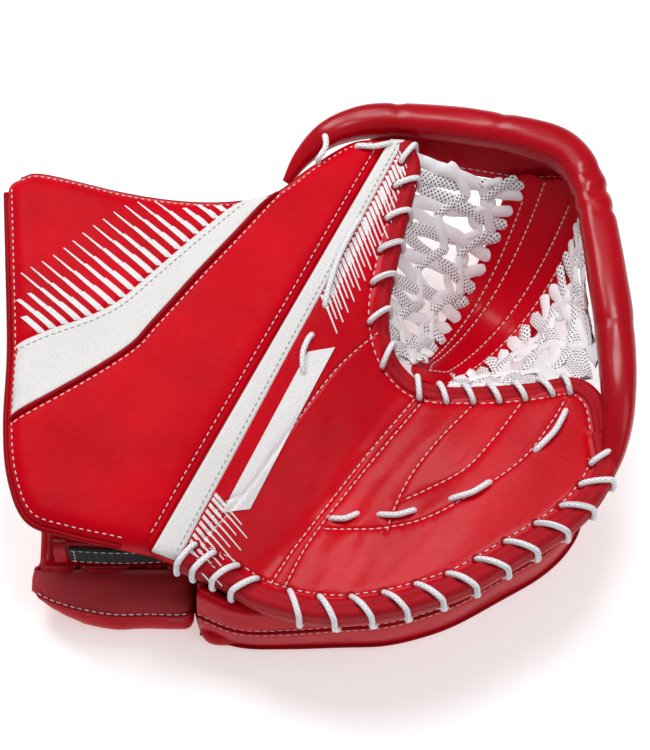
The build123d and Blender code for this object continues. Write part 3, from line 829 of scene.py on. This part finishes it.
def make_palm():
    seams = [(catmull(points, 2.0), 1.1, 0.8) for points in PALM_SEAMS.values()]
    pocket, rim = catmull(POCKET_EDGE, 2.0), catmull(RIM, 2.0)
    ridges = [(inset_lines(pocket, 9.5), 1.6, 0.7), (inset_lines(rim, 12.0), 2.0, 0.9)]

    def creased(xy, z):
        a, b = ab(xy)
        soft = np.array([noise.fractal(Vector((u * 0.012, v * 0.05, 8.0)), 1.0, 2.0, 4)
                         for u, v in zip(a, b)])
        heel = np.exp(-(((a + 95) / 45) ** 2 + (b / 45) ** 2))
        return z + soft * (0.5 + 2.2 * heel)

    palm = panel("palm_leather", palm_loop(), palm_z, PALM_THICK, (4.0, 3.5), M_PALM, seams + ridges, 4.0,
                 creased)
    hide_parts("thumb_palm_skin", "thumb_palm_foam", "thumb_palm_board", "thumb_palm_liner",
                "finger_palm_skin", "finger_palm_foam", "finger_palm_board", "finger_palm_liner")
    bend(palm)
    palm_top = probe(palm, palm_z)

    thread = Stack()
    for points in PALM_SEAMS.values():
        stitches(thread, lift(catmull(points, 2.0), palm_top, 0.05))
    stitches(thread, lift(inset_lines(pocket, 9.6), palm_top, 0.05), length=3.0, gap=2.0)
    stitches(thread, lift(inset_lines(rim, 13.6)[8:-6], palm_top, 0.05), length=3.0, gap=2.0)
    piece = thread.make("palm_stitching", M_THREAD)
    bend(piece)
    return palm_top


def make_bindings():
    """Layered tape wrapped round the pocket's edge and the palm's rim."""
    depth = PALM_THICK
    tape = [(-8.0, 0.2), (-7.0, 1.2), (-4.2, 1.5), (-3.4, 1.0), (-2.6, 1.9), (-0.4, 1.8), (1.6, 0.4),
            (2.4, -2.0), (2.0, -4.2), (2.8, -6.0), (2.6, -9.0), (2.0, -depth), (0.0, -depth - 1.6),
            (-4.0, -depth - 1.6), (-8.0, -depth - 0.8)]
    jobs = (("pocket_edge_binding", POCKET_EDGE, 1.0, ("thumb_edge_binding", "finger_edge_binding")),
            ("rim_edge_binding", RIM, 1.2, ("rim_binding", "thumb_heel_binding")))
    for name, points, width, node in jobs:
        edge = catmull(points, 2.0)
        outward = -side_of(edge)
        profile = [(o * (width if o < 0 else 1.0), u) for o, u in tape][::-1]
        stack = Stack()
        sweep(stack, lift(edge, palm_z), profile, outward)
        piece = stack.make(name, M_TAPE)
        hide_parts(*node)
        bend(piece)


# ================= laces =================

LACE_RADIUS = 1.8


def whip(stack, points, stations, slant, inner, outer):
    """One continuous lace: out of each hole, across the edge on a slant, round it and under to the next."""
    edge = catmull(points, 1.0)
    outward = -side_of(edge)
    route = []
    for share in stations:
        i = int(share * (len(edge) - 1))
        hole = edge[i] - outward[i] * inner
        j = min(max(i + int(slant), 0), len(edge) - 1)
        lip = edge[j] + outward[j] * outer
        middle = (hole + lip) / 2
        top, lip_top = palm_z(hole[None])[0], palm_z(edge[j][None])[0]
        jitter = RNG.uniform(-0.6, 0.6)
        route += [(*hole, top - PALM_THICK - 1.5), (*hole, top - 3.0),
                  (*(hole + (middle - hole) * 0.22), top + 2.2),
                  (*middle, max(top, lip_top) + 3.9 + jitter),
                  (*(lip - (lip - middle) * 0.2), lip_top + 2.6),
                  (*lip, lip_top - 3.5), (*lip, lip_top - PALM_THICK + 2.5),
                  (*(lip - outward[j] * 4.0), lip_top - PALM_THICK - 3.4)]
    tube(stack, catmull(route, 1.2), LACE_RADIUS, 10)


def holes(stack, points, stations, inner):
    """Dark eyelets where the lace goes in."""
    edge = catmull(points, 1.0)
    outward = -side_of(edge)
    for share in stations:
        i = int(share * (len(edge) - 1))
        centre = edge[i] - outward[i] * inner
        z = palm_z(centre[None])[0]
        angles = np.linspace(0, 2 * math.pi, 14, endpoint=False)
        rings = [[(centre[0] + r * math.cos(t), centre[1] + r * math.sin(t), z + h) for t in angles]
                 for r, h in ((2.9, -1.5), (2.9, 0.35), (2.5, 0.5))]
        loft(stack, rings)


THUMB_STATIONS = [0.045 + 0.072 * i for i in range(7)]
FINGER_STATIONS = [0.555 + 0.05 * i for i in range(7)]
RIM_STATIONS = [0.075 + 0.0655 * i for i in range(12)]
HEEL_STATIONS = [0.865, 0.905, 0.945, 0.98]


def make_laces():
    eyelets = Stack()
    jobs = (("thumb_pocket_lace", POCKET_EDGE, THUMB_STATIONS, -9, 9.5, 3.4, "thumb_edge_lace"),
            ("finger_pocket_lace", POCKET_EDGE, FINGER_STATIONS, -7, 9.5, 3.4, "finger_edge_lace"),
            ("rim_whip_lace", RIM, RIM_STATIONS, -12, 12.5, 4.0, "rim_lace"),
            ("heel_whip_lace", RIM, HEEL_STATIONS, 9, 12.5, 4.0, "thumb_heel_lace"))
    for name, points, stations, slant, inner, outer, node in jobs:
        stack = Stack()
        whip(stack, points, stations, slant, inner, outer)
        piece = stack.make(name, M_LACE)
        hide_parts(node)
        bend(piece)
        holes(eyelets, points, stations, inner)
    piece = eyelets.make("lace_eyelets", M_SEAM)
    bend(piece)

    palm_runs = [((8, -92), (23, -90)), ((36, -92), (56, -91)), ((78, -86), (100, -77)),
                 ((128, -57), (146, -32))]
    thumb_runs = [((25, 92), (4, 36)), ((-4, 16), (-9, -8)), ((24, 141), (44, 143)), ((0, 132), (4, 148))]
    stays = (("palm_stay_lace", palm_runs, "palm_lace"), ("thumb_stay_lace", thumb_runs, "thumb_lace"))
    for name, runs, node in stays:
        stack = Stack()
        for start, end in runs:
            start, end = np.array(start, float), np.array(end, float)
            run = end - start
            sag = np.array([run[1], -run[0]]) / np.linalg.norm(run)
            route = [(*(start - run * 0.02), palm_z(start[None])[0] - 4),
                     (*start, palm_z(start[None])[0] + 0.2)]
            for t in (0.18, 0.5, 0.82):
                p = start + run * t + sag * 2.5 * math.sin(math.pi * t)
                route.append((*p, palm_z(p[None])[0] + 1.6 + 1.0 * math.sin(math.pi * t)))
            route += [(*end, palm_z(end[None])[0] + 0.2), (*(end + run * 0.02), palm_z(end[None])[0] - 4)]
            tube(stack, catmull(route, 1.2), LACE_RADIUS, 10)
        piece = stack.make(name, M_LACE)
        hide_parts(node)
        bend(piece)


# ================= tee, roll and pocket wall =================

def make_tee():
    outline = np.array([plan(a, b) for a, b in TEE_OUTLINE])
    loop = catmull(outline, 2.5, closed=True)[:-1]
    lines = [resample(np.array([plan(*p) for p in pair]), 2.0) for pair in
             (((22, -9), (140, -21)), ((17, -3), (26, -7), (148, -12)), ((17, -3), (28, 3), (146, 8)),
              ((22, 10), (140, 19)))]
    seams = [(line, 1.0, 0.6) for line in lines]
    face = panel("tee_leather", loop, tee_z, 8.5, (3.0, 3.0), M_PALM, seams, 3.0)
    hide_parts("tee_face", "tee_foam", "tee_back")
    bend(face)
    tee_top = probe(face, tee_z)
    thread = Stack()
    for line in lines:
        stitches(thread, lift(line, tee_top, 0.05))
    piece = thread.make("tee_stitching", M_THREAD)
    bend(piece)


def roll_path():
    route = catmull([(*p, r) for p, r in zip(ROLL_ROUTE, ROLL_RADII)], 2.5)
    return route[:, :3], route[:, 3]


def make_roll():
    path, radii = roll_path()
    side, up = frames_along(path)
    creases = [(34, 4), (60, 3), (86, 6), (91, 9), (96, 6), (126, 3), (168, 4)]
    stack = Stack()
    angles = np.linspace(0, 2 * math.pi, 28, endpoint=False)
    rings = []
    for i, (p, s, u, r) in enumerate(zip(path, side, up, radii)):
        ring = []
        pinch = sum(math.exp(-((i - at) / 1.6) ** 2) * 0.05 * w / 4 for at, w in creases)
        for t in angles:
            wobble = 0.05 * noise.noise(Vector((i * 0.09, math.cos(t) * 1.3, math.sin(t) * 1.3)))
            square = (abs(math.cos(t)) ** 2.7 + abs(math.sin(t)) ** 2.7) ** (-1 / 2.7)
            folds = 0.8 * pinch * noise.noise(Vector((i * 0.5, math.cos(t) * 3.0, math.sin(t) * 3.0)))
            reach = r * (0.94 * square + wobble + folds - pinch * (0.9 + 0.6 * math.sin(t * 2 + i)))
            ring.append(p + (math.cos(t) * s + math.sin(t) * u) * reach)
        rings.append(ring)
    loft(stack, rings)
    piece = stack.make("perimeter_roll", M_ROLL_PAINTED_SHADE)
    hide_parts("thumb_roll_cover", "thumb_roll_core", "tee_roll_cover", "tee_roll_core",
                "finger_roll_cover", "finger_roll_core")
    bend(piece)


WALL_FOOT = [(40, 146, 82), (62, 139, 84), (90, 135, 82), (126, 130, 80), (150, 125, 92), (163, 113, 102),
             (169, 88, 84), (167, 60, 68), (167, 30, 70), (168, 4, 80), (171, -14, 92), (174, -40, 94)]


def make_pocket_wall():
    """Leather wall that hangs from the roll to the nets and the tee."""
    path, radii = roll_path()
    top = resample(path[26:-10], count=120)
    foot = resample(catmull(WALL_FOOT, 3.0), count=120)
    rows = []
    for share in np.linspace(0, 1, 12):
        row = top * (1 - share) + foot * share
        row[:, 2] -= 5.0 * math.sin(math.pi * share)
        rows.append(row)
    rows = np.array(rows)
    out = np.zeros_like(rows)
    out[:, :, :2] = (rows[:, :, :2] - np.array([105.0, 60.0]))
    out /= np.linalg.norm(out, axis=2)[:, :, None]
    inner = rows + out * 1.0
    outer = rows + out * 5.5
    m = rows.shape[1]
    rings = [np.vstack([inner[:, j], outer[::-1, j]]) for j in range(m)]
    stack = Stack()
    loft(stack, rings)
    # The wall shares the roll leather, whose darker red is painted shade.
    wall = stack.make("pocket_wall", M_ROLL_PAINTED_SHADE)
    bend(wall)
    thread = Stack()
    line = inner[9] - out[9] * 0.6
    stitches(thread, line[6:-6], -out[9][6:-6])
    piece = thread.make("pocket_wall_stitching", M_THREAD)
    bend(piece)


# ================= nets =================

NET_WIDTH = 8.4
NET_THICK = 1.5
NET_CUP = 0.9  # its edges curl down by this much
RIBBON_STEP = 1.6


def flat_ribbon(front, back, path, normals, width=NET_WIDTH, round_start=False):
    """Soft flat lace: its outer face goes to front, the rest to back, so that each has its own cloth."""
    path = resample(path, RIBBON_STEP)
    normals = np.asarray(normals, float)
    normals = normals[np.linspace(0, len(normals) - 1, len(path)).astype(int)]
    side, up = frames_along(path, normals)
    n = len(path)
    reach = np.arange(n) * RIBBON_STEP
    total = reach[-1]
    across = np.linspace(-1, 1, 7)
    top_rows, low_rows = [], []
    for i in range(n):
        half = width / 2
        end = min(reach[i] if round_start else total, total - reach[i])
        if end < half:
            half *= max(0.12, math.sqrt(max(0.0, 1 - ((half - end) / half) ** 2)))
        for rows, sign in ((top_rows, 1), (low_rows, -1)):
            lifts = [sign * NET_THICK / 2 * math.sqrt(max(0.02, 1 - c**2)) - NET_CUP * c**2 for c in across]
            rows.append([path[i] + side[i] * half * c + up[i] * h for c, h in zip(across, lifts)])
    top, low = np.array(top_rows), np.array(low_rows)
    m = len(across)
    uv = np.array([(reach[i] * MM, (c + 1) / 2) for i in range(n) for c in across])
    faces = [(i * m + j, i * m + j + 1, (i + 1) * m + j + 1, (i + 1) * m + j)
             for i in range(n - 1) for j in range(m - 1)]
    front.add(top.reshape(-1, 3), faces, uv)
    verts = np.vstack([top[:, :1].reshape(-1, 3), low.reshape(-1, 3), top[:, -1:].reshape(-1, 3)])
    count = n * m
    faces = [(n + i * m + j, n + (i + 1) * m + j, n + (i + 1) * m + j + 1, n + i * m + j + 1)
             for i in range(n - 1) for j in range(m - 1)]
    faces += [(i, i + 1, n + (i + 1) * m, n + i * m) for i in range(n - 1)]
    faces += [(n + i * m + m - 1, n + (i + 1) * m + m - 1, n + count + i + 1, n + count + i)
              for i in range(n - 1)]
    uv_low = np.vstack([uv[::m], uv, uv[m - 1::m]])
    back.add(verts, faces, uv_low)


def net(edge, foot, rungs, name, node, crossings):
    """Woven net between a palm edge and the tee: rungs that loop over the tee, tied by short wraps.

    edge and foot are 3-D lines with matching ends. crossings are shares of a rung where wraps sit."""
    dotted, plain = Stack(), Stack()
    edge, foot = resample(edge, count=200), resample(foot, count=200)
    middle = (edge.mean(0) + foot.mean(0)) / 2

    def spot(s, t, up=0.0):
        k = min(max(s, 0.0), 1.0) * 199
        p = edge[int(k)] * (1 - t) + foot[int(k)] * t
        sag = -3.0 * math.sin(math.pi * min(max(t, 0), 1))
        return p + np.array((0, 0, sag + up))

    def normal(s, t):
        along = spot(s + 0.03, t) - spot(s - 0.03, t)
        over = spot(s, min(1, t + 0.05)) - spot(s, max(0, t - 0.05))
        out = np.cross(along, over)
        out = out / (np.linalg.norm(out) + 1e-9)
        return out if out[2] > 0 else -out

    step = 1.0 / rungs
    for i in range(rungs):
        s = (i + 0.5) * step
        for shift, lean, up, reach, pair in ((-0.14, 0.62, 0.6, 1.12, 0), (0.16, -0.62, 1.8, 1.17, 1)):
            path, normals = [], []
            for t in np.linspace(-0.02, reach, 14):
                weave = 1.5 * math.sin(t * 9.0 + pair * math.pi + i)
                where = s + (shift + lean * (t - 0.4)) * step
                lap = 5.0 * max(0.0, t - 0.92) / 0.2
                path.append(spot(where, t, up + weave + lap))
                tilt = normal(where, min(max(t, 0.05), 0.95))
                normals.append(tilt + RNG.uniform(-0.12, 0.12) * np.array((1, 1, 0)))
            front = dotted if (i + pair) % 2 else plain
            flat_ribbon(front, plain, catmull(path, 1.6), normals)
        for k, t in enumerate(crossings):
            length = np.linalg.norm(spot(s + step * 0.55, t) - spot(s - step * 0.55, t))
            if length < 4.0:
                continue
            twist = 0.10 * (-1) ** (i + k)
            path, normals = [], []
            for u in np.linspace(-0.62, 0.62, 9):
                arch = 3.2 * math.cos(u / 0.62 * math.pi / 2)
                path.append(spot(s + u * step, t + twist * u * 2, arch + 0.4))
                normals.append(normal(s, t))
            front = plain if (i + k) % 2 else dotted
            flat_ribbon(front, plain, catmull(path, 1.4), normals, width=NET_WIDTH * 0.8, round_start=True)
    tie_share, tie_shift = 0.78, 0.35
    path, normals = [], []
    for s in np.linspace(0.0, 1.0, rungs * 4 + 1):
        wave = 0.075 * math.sin((s / step + tie_shift) * 2 * math.pi)
        rise = 2.2 * math.cos((s / step + tie_shift) * 2 * math.pi)
        path.append(spot(s, tie_share + wave, 0.8 + rise))
        normals.append(normal(s, tie_share))
    flat_ribbon(plain, plain, catmull(path, 1.6), normals, width=NET_WIDTH * 0.75, round_start=True)
    for part, stack, mat in (("flecked", dotted, M_NET_DOTS), ("plain", plain, M_NET)):
        piece = stack.make(f"{name}_{part}", mat)
        bend(piece)
    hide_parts(node)


def make_nets():
    pocket = catmull(POCKET_EDGE, 1.0)
    a, b = ab(pocket)
    count = len(pocket)
    start = int(0.45 * count)
    edge = pocket[6:start][::-1]
    edge = lift(edge - side_of(edge) * 3.5, face_z, -6.0)
    foot_ab = [(12, -10), (50, -19), (75, -23), (105, -27), (128, -28), (143, -27)]
    foot = catmull([plan(*p) for p in foot_ab], 2.0)
    foot = lift(foot, tee_z, 1.6)
    edge[-8:, 2] += np.linspace(0, 4, 8)
    net(edge, foot, 8, "thumb_net", "thumb_web", (0.48, 0.86))

    first, last = int(0.60 * count), int(0.90 * count)
    edge = pocket[first:last]
    edge = lift(edge - side_of(edge) * 3.5, face_z, -6.0)
    up_the_wall = [(166, 2, 86), (165, 20, 84), (162, 40, 86)]
    edge = np.vstack([edge[:-12], catmull([edge[-13], *up_the_wall], 2.0)])
    foot_ab = [(18, 12), (40, 17), (62, 20), (84, 22), (104, 23), (124, 22), (144, 18)]
    foot = lift(catmull([plan(*p) for p in foot_ab], 2.0), tee_z, 1.6)
    net(edge, foot, 8, "finger_net", "finger_web", (0.3, 0.55, 0.8))


# ================= back of the hand =================

def make_back():
    """Padded back: quilted under side, a leather wall up to the palm and a lined floor inside."""
    loop = catmull(BACK_OUTLINE, 3.0, closed=True)[:-1]
    quilting = [resample(np.array(pair, float), 2.5) for pair in
                (((-20, -150), (-20, -50)), ((30, -150), (30, -25)), ((80, -136), (80, -18)),
                 ((122, -112), (122, -20)), ((-71, -112), (158, -66)))]

    def floor_height(xy):
        return np.full(len(xy), 18.0)

    pad = panel("back_pad_leather", loop, floor_height, 18.0, (9.0, 8.0), M_BACK, spacing=6.0)
    mesh = pad.data
    co = np.array([v.co for v in mesh.vertices]) / MM
    low = co[:, 2] < 5.0
    groove = np.zeros(len(co))
    for line in quilting:
        away = distance_to(co[:, :2] - FRAME_SHIFT[:2], line)
        groove = np.maximum(groove, 3.2 * np.exp(-((away / 3.5) ** 2)))
    co[low, 2] += groove[low]
    mesh.vertices.foreach_set("co", (co * MM).ravel())
    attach(pad, "hand")

    lining = panel("back_lining", inset_loop(loop, 7.5), lambda xy: np.full(len(xy), 20.0), 3.0, (2.0, 1.0),
                   M_LINING, (), 8.0)
    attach(lining, "hand")
    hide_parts("back_liner")

    wall_line = catmull(BACK_OUTLINE[:17], 3.0)
    outward = side_of(wall_line)
    centre = np.array([45.0, -85.0])
    flip = np.sign(np.sum(outward * (wall_line - centre), axis=1))
    outward = outward * np.where(flip == 0, 1, flip)[:, None]
    tops = [palm_z((p - o * 2.0)[None])[0] - PALM_THICK + 1.0 for p, o in zip(wall_line, outward)]
    stack = Stack()
    rings = []
    for i, (p, o, top) in enumerate(zip(wall_line, outward, tops)):
        ring = []
        for share in np.linspace(0, 1, 13):
            z = 7.0 + (top - 7.0) * share
            bulge = 3.0 * math.sin(math.pi * share) - 1.2 * math.exp(-((share - 0.52) / 0.05) ** 2)
            ripple = 0.7 * noise.noise(Vector((i * 0.12, share * 4, 2.0)))
            ring.append((*(p + o * (bulge + ripple - 0.8)), z))
        for share in np.linspace(1, 0, 7):
            ring.append((*(p - o * 7.0), 12.0 + (top - 12.0) * share))
        rings.append(ring)
    loft(stack, rings)
    wall = stack.make("back_wall_leather", M_BACK)
    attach(wall, "hand")
    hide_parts("back_cover", "back_foam")

    trim = Stack()
    seam_path = [(*(p + o * 1.6), 7.0 + (top - 7.0) * 0.52) for p, o, top in zip(wall_line, outward, tops)]
    tube(trim, seam_path, 1.6, 8)
    tube(trim, np.column_stack([wall_line + outward * 0.2, np.full(len(wall_line), 8.0)]), 1.5, 8)
    piece = trim.make("back_wall_piping", M_SEAM)
    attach(piece, "hand")
    thread = Stack()
    high = np.array(seam_path) + np.column_stack([outward * 0.3, np.full(len(wall_line), 4.0)])
    normals = np.column_stack([outward, np.zeros(len(outward))])
    stitches(thread, high, normals)
    stitches(thread, high - (0, 0, 8.0), normals)
    piece = thread.make("back_wall_stitching", M_THREAD)
    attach(piece, "hand")


# ================= wrist pad and straps =================

PAD_OUTER = [(-36, 0.5), (-80, 0.2), (-118, 0.4), (-133, 6), (-139, 19), (-132, 34), (-116, 43)]
PAD_INNER = [(-107, 40), (-113, 30), (-114, 23), (-104, 18), (-80, 17), (-36, 17)]


PAD_END_X = -173.0
HINGE_X = -74.5


def swell(obj, cap, steps=14, pressure=3.0, voxel=4.5):
    """Puffs a closed pad by cloth pressure, moving no point more than cap millimetres."""
    scene = bpy.context.scene
    bpy.context.view_layer.objects.active = obj
    remesh = obj.modifiers.new("remesh", "REMESH")
    remesh.mode = "VOXEL"
    remesh.voxel_size = voxel * MM
    with bpy.context.temp_override(object=obj, active_object=obj, selected_objects=[obj]):
        bpy.ops.object.modifier_apply(modifier=remesh.name)
    start = np.array([v.co for v in obj.data.vertices])
    cloth = obj.modifiers.new("cloth", "CLOTH")
    cloth.settings.use_pressure = True
    cloth.settings.uniform_pressure_force = pressure
    cloth.settings.quality = 6
    cloth.settings.effector_weights.gravity = 0
    for number in range(1, steps + 1):
        scene.frame_set(number)
    depsgraph = bpy.context.evaluated_depsgraph_get()
    moved = np.array([v.co for v in obj.evaluated_get(depsgraph).data.vertices])
    obj.modifiers.remove(cloth)
    scene.frame_set(1)
    step = moved - start
    length = np.linalg.norm(step, axis=1)[:, None] + 1e-12
    step *= np.minimum(1, cap * MM / length)
    obj.data.vertices.foreach_set("co", (start + step).ravel())
    obj.data.update()
    obj.data.polygons.foreach_set("use_smooth", [True] * len(obj.data.polygons))


def make_wrist_pad():
    outer, inner = catmull(PAD_OUTER, 3.0), catmull(PAD_INNER, 3.0)
    profile = np.vstack([outer, inner])
    profile = resample(np.vstack([profile, profile[:1]]), count=91)[:-1]
    centre = np.array([-95.0, 14.0])
    stack = Stack()
    rings = []
    for x in np.linspace(PAD_END_X, HINGE_X, 40):
        from_end = x - PAD_END_X
        to_hinge = HINGE_X - x
        nose = min(1.0, from_end / 48.0)
        shrink = 0.16 + 0.84 * (1 - (1 - nose) ** 2) ** 0.8
        if to_hinge < 6:
            shrink *= 0.9 + 0.1 * math.sqrt(1 - (1 - to_hinge / 6) ** 2)
        taper = 0.86 + 0.14 * min(1.0, from_end / 55.0)
        ring = []
        for y, z in profile:
            y2 = centre[0] + (y - centre[0]) * taper * (0.5 + 0.5 * shrink)
            z2 = centre[1] + 8.0 * (1 - nose) ** 2 + (z - centre[1]) * shrink
            fold = 1.1 * noise.fractal(Vector((x * 0.035, y * 0.02 + z * 0.09, 5.0)), 1.0, 2.0, 3)
            away = np.array([y2 - centre[0], z2 - 20.0])
            away /= np.linalg.norm(away) + 1e-9
            ring.append((x, y2 + away[0] * fold, max(0.6, z2 + away[1] * fold)))
        rings.append(ring)
    loft(stack, rings)
    pad = stack.make("wrist_pad_body", M_BACK)
    swell(pad, cap=1.6)
    mesh = pad.data
    co = np.array([v.co for v in mesh.vertices])
    co[:, 2] = np.maximum(co[:, 2], 0.3 * MM)
    mesh.vertices.foreach_set("co", co.ravel())
    mesh.materials.append(M_NYLON)
    for polygon in mesh.polygons:
        middle = polygon.center
        if middle.z > 0.027 and middle.y / MM - FRAME_SHIFT[1] < -95.0:
            polygon.material_index = 1
    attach(pad, "wrist_flap")
    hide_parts("wrist_pad_cover", "wrist_pad_foam")

    trim = Stack()
    pad_tree = ray_tree(mesh)
    seam, lip = [], []
    for x in np.linspace(-168, -76, 47):
        nose = max(0.0, (-125 - x) / 48) ** 2
        aims = ((seam, (0.0, 1.0, 0.0), (-200.0, 29.0 - 6.0 * nose)),
                (lip, (0.0, 0.45, -1.0), (-128.0, 80.0)))
        for line, way, (y, z) in aims:
            start = (np.array((x, y, z)) + FRAME_SHIFT) * MM
            hit = pad_tree.ray_cast(Vector(start), Vector(way))[0]
            if hit is not None:
                line.append(np.array(hit) / MM - FRAME_SHIFT)
    tube(trim, seam, 1.5, 8)
    tube(trim, lip, 2.0, 8)
    piece = trim.make("wrist_pad_binding", M_TAPE)
    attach(piece, "wrist_flap")
    thread = Stack()
    stitches(thread, np.array(seam) + (0, -0.4, 3.6), np.tile((0, -0.8, 0.6), (len(seam), 1)))
    piece = thread.make("wrist_pad_stitching", M_THREAD)
    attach(piece, "wrist_flap")


def slab(stack, corners, thick, bend_by=0.0):
    """Thin upright strip from x0,z0 to x1,z1 at a y, gently bowed."""
    (x0, z0), (x1, z1), y = corners
    rings = []
    for x in np.linspace(x0, x1, 30):
        bow = bend_by * math.sin(math.pi * (x - x0) / (x1 - x0))
        ring = []
        for shares, sign, skew in ((np.linspace(0, 1, 9), -1, 0.0), (np.linspace(1, 0, 9), 1, 0.05)):
            for share in shares:
                round_off = thick * 0.5 * math.sqrt(max(0.0, 1 - (2 * share - 1) ** 8))
                ring.append((x, y + bow + sign * round_off + skew, z0 + (z1 - z0) * share))
        rings.append(ring)
    loft(stack, rings)


def make_strap():
    band, loop, tip, thread = Stack(), Stack(), Stack(), Stack()
    slab(band, ((-151, 47), (HINGE_X, 72), -105), 2.4, -1.5)
    slab(loop, ((-147, 49), (-84, 70), -107.4), 2.0, -1.5)
    slab(tip, ((-156, 46), (-149, 73), -105.6), 6.4)
    for z in (51.5, 67.5):
        xs = np.linspace(-146, -85, 40)
        line = np.column_stack([xs, -108.6 - 1.5 * np.sin(math.pi * (xs + 147) / 63), np.full(40, z)])
        stitches(thread, line, np.tile((0, -1, 0), (40, 1)))
    upright = np.column_stack([np.full(12, -144.0), np.full(12, -108.7), np.linspace(50, 69, 12)])
    stitches(thread, upright, np.tile((0, -1, 0), (12, 1)))
    jobs = (("strap_web", band, M_WEBBING, "strap_band", "webbing"),
            ("strap_loop_pile", loop, M_LOOP, "strap_loop_face", "loop_pile"),
            ("strap_bound_tip", tip, M_TAPE, "strap_tip", "binding"),
            ("strap_stitching", thread, M_THREAD, None, "lace"))
    for name, stack, mat, node, slot in jobs:
        piece = stack.make(name, mat)
        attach(piece, "wrist_strap")
        if node:
            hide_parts(node)


# ================= parts kept from the CAD =================

def dress_cad():
    """Gives the CAD parts that no piece replaces their materials."""
    looks = {"finger_stalls": M_LINING, "thumb_stall": M_LINING, "thumb_guard": M_BACK,
             "hand_strap": M_WEBBING, "strap_anchor": M_WEBBING}
    for node, mat in looks.items():
        for slot in bpy.data.objects[node].material_slots:
            slot.material = mat
    buckle, nodes, links, shader = new_material("moulded black plastic")
    coords = nodes.new("ShaderNodeTexCoord").outputs["Object"]
    fine = texture(nodes, links, "ShaderNodeTexNoise", coords, Scale=1800.0, Detail=3.0)
    blacks = ramp(nodes, links, fine.outputs["Fac"],
                  [(0.3, (0.012, 0.012, 0.013)), (0.7, (0.022, 0.022, 0.024))])
    links.new(blacks, shader.inputs["Base Color"])
    shader.inputs["Roughness"].default_value = 0.4
    bump(nodes, links, [(fine.outputs["Fac"], 0.2, 0.0001)], shader)
    for slot in bpy.data.objects["hand_strap_buckle"].material_slots:
        slot.material = buckle


# ================= camera, light and floor =================

def make_stage():
    data = bpy.data.cameras.new("camera")
    data.lens = CAMERA_LENS
    data.sensor_width = 36.0
    camera = bpy.data.objects.new("camera", data)
    away = Vector((0, -math.cos(CAMERA_ELEVATION), math.sin(CAMERA_ELEVATION)))
    camera.location = CAMERA_AIM + away * CAMERA_DISTANCE
    camera.rotation_euler = away.to_track_quat("Z", "Y").to_euler()
    bpy.context.scene.collection.objects.link(camera)
    bpy.context.scene.camera = camera

    floor_mat, _, _, shader = new_material("pale floor")
    shader.inputs["Base Color"].default_value = (0.86, 0.86, 0.86, 1)
    shader.inputs["Roughness"].default_value = 0.85
    shader.inputs["Emission Color"].default_value = (1, 1, 1, 1)
    shader.inputs["Emission Strength"].default_value = 0.45
    size = 6.0
    mesh = bpy.data.meshes.new("floor")
    floor_corners = [(-size, -size, 0), (size, -size, 0), (size, size, 0), (-size, size, 0)]
    mesh.from_pydata(floor_corners, [], [(0, 1, 2, 3)])
    floor = bpy.data.objects.new("floor", mesh)
    floor.data.materials.append(floor_mat)
    bpy.context.scene.collection.objects.link(floor)
    floor.location.z = -0.001

    world = bpy.data.worlds.new("studio")
    bpy.context.scene.world = world
    world.use_nodes = True
    world.node_tree.nodes["Background"].inputs["Color"].default_value = (1, 1, 1, 1)
    world.node_tree.nodes["Background"].inputs["Strength"].default_value = 0.3
    lamps = (("key", (-0.6, 0.9, 1.4), 0.6, 14.0), ("fill", (0.9, -0.5, 1.3), 0.8, 4.5),
             ("top", (0.1, 0.4, 1.6), 0.4, 9.5))
    for name, place, size, power in lamps:
        lamp = bpy.data.lights.new(name, "AREA")
        lamp.size = size
        lamp.energy = power
        light = bpy.data.objects.new(name, lamp)
        light.location = place
        light.rotation_euler = (Vector(place) - Vector((0, 0, 0.06))).to_track_quat("Z", "Y").to_euler()
        bpy.context.scene.collection.objects.link(light)
    bpy.context.scene.view_settings.view_transform = "Standard"


make_stage()
cuff_surface = make_cuff()
swoosh_surface, stripe_surface = make_inlays(cuff_surface)
make_cuff_stitching(cuff_surface, swoosh_surface, stripe_surface)
make_cuff_hashes(cuff_surface)
palm_surface = make_palm()
make_stripe_hashes(palm_surface)
make_bindings()
make_laces()
make_tee()
make_roll()
make_pocket_wall()
make_nets()
make_back()
make_wrist_pad()
make_strap()
dress_cad()


def corners(box):
    return [[float(v) for v in corner] for corner in box]
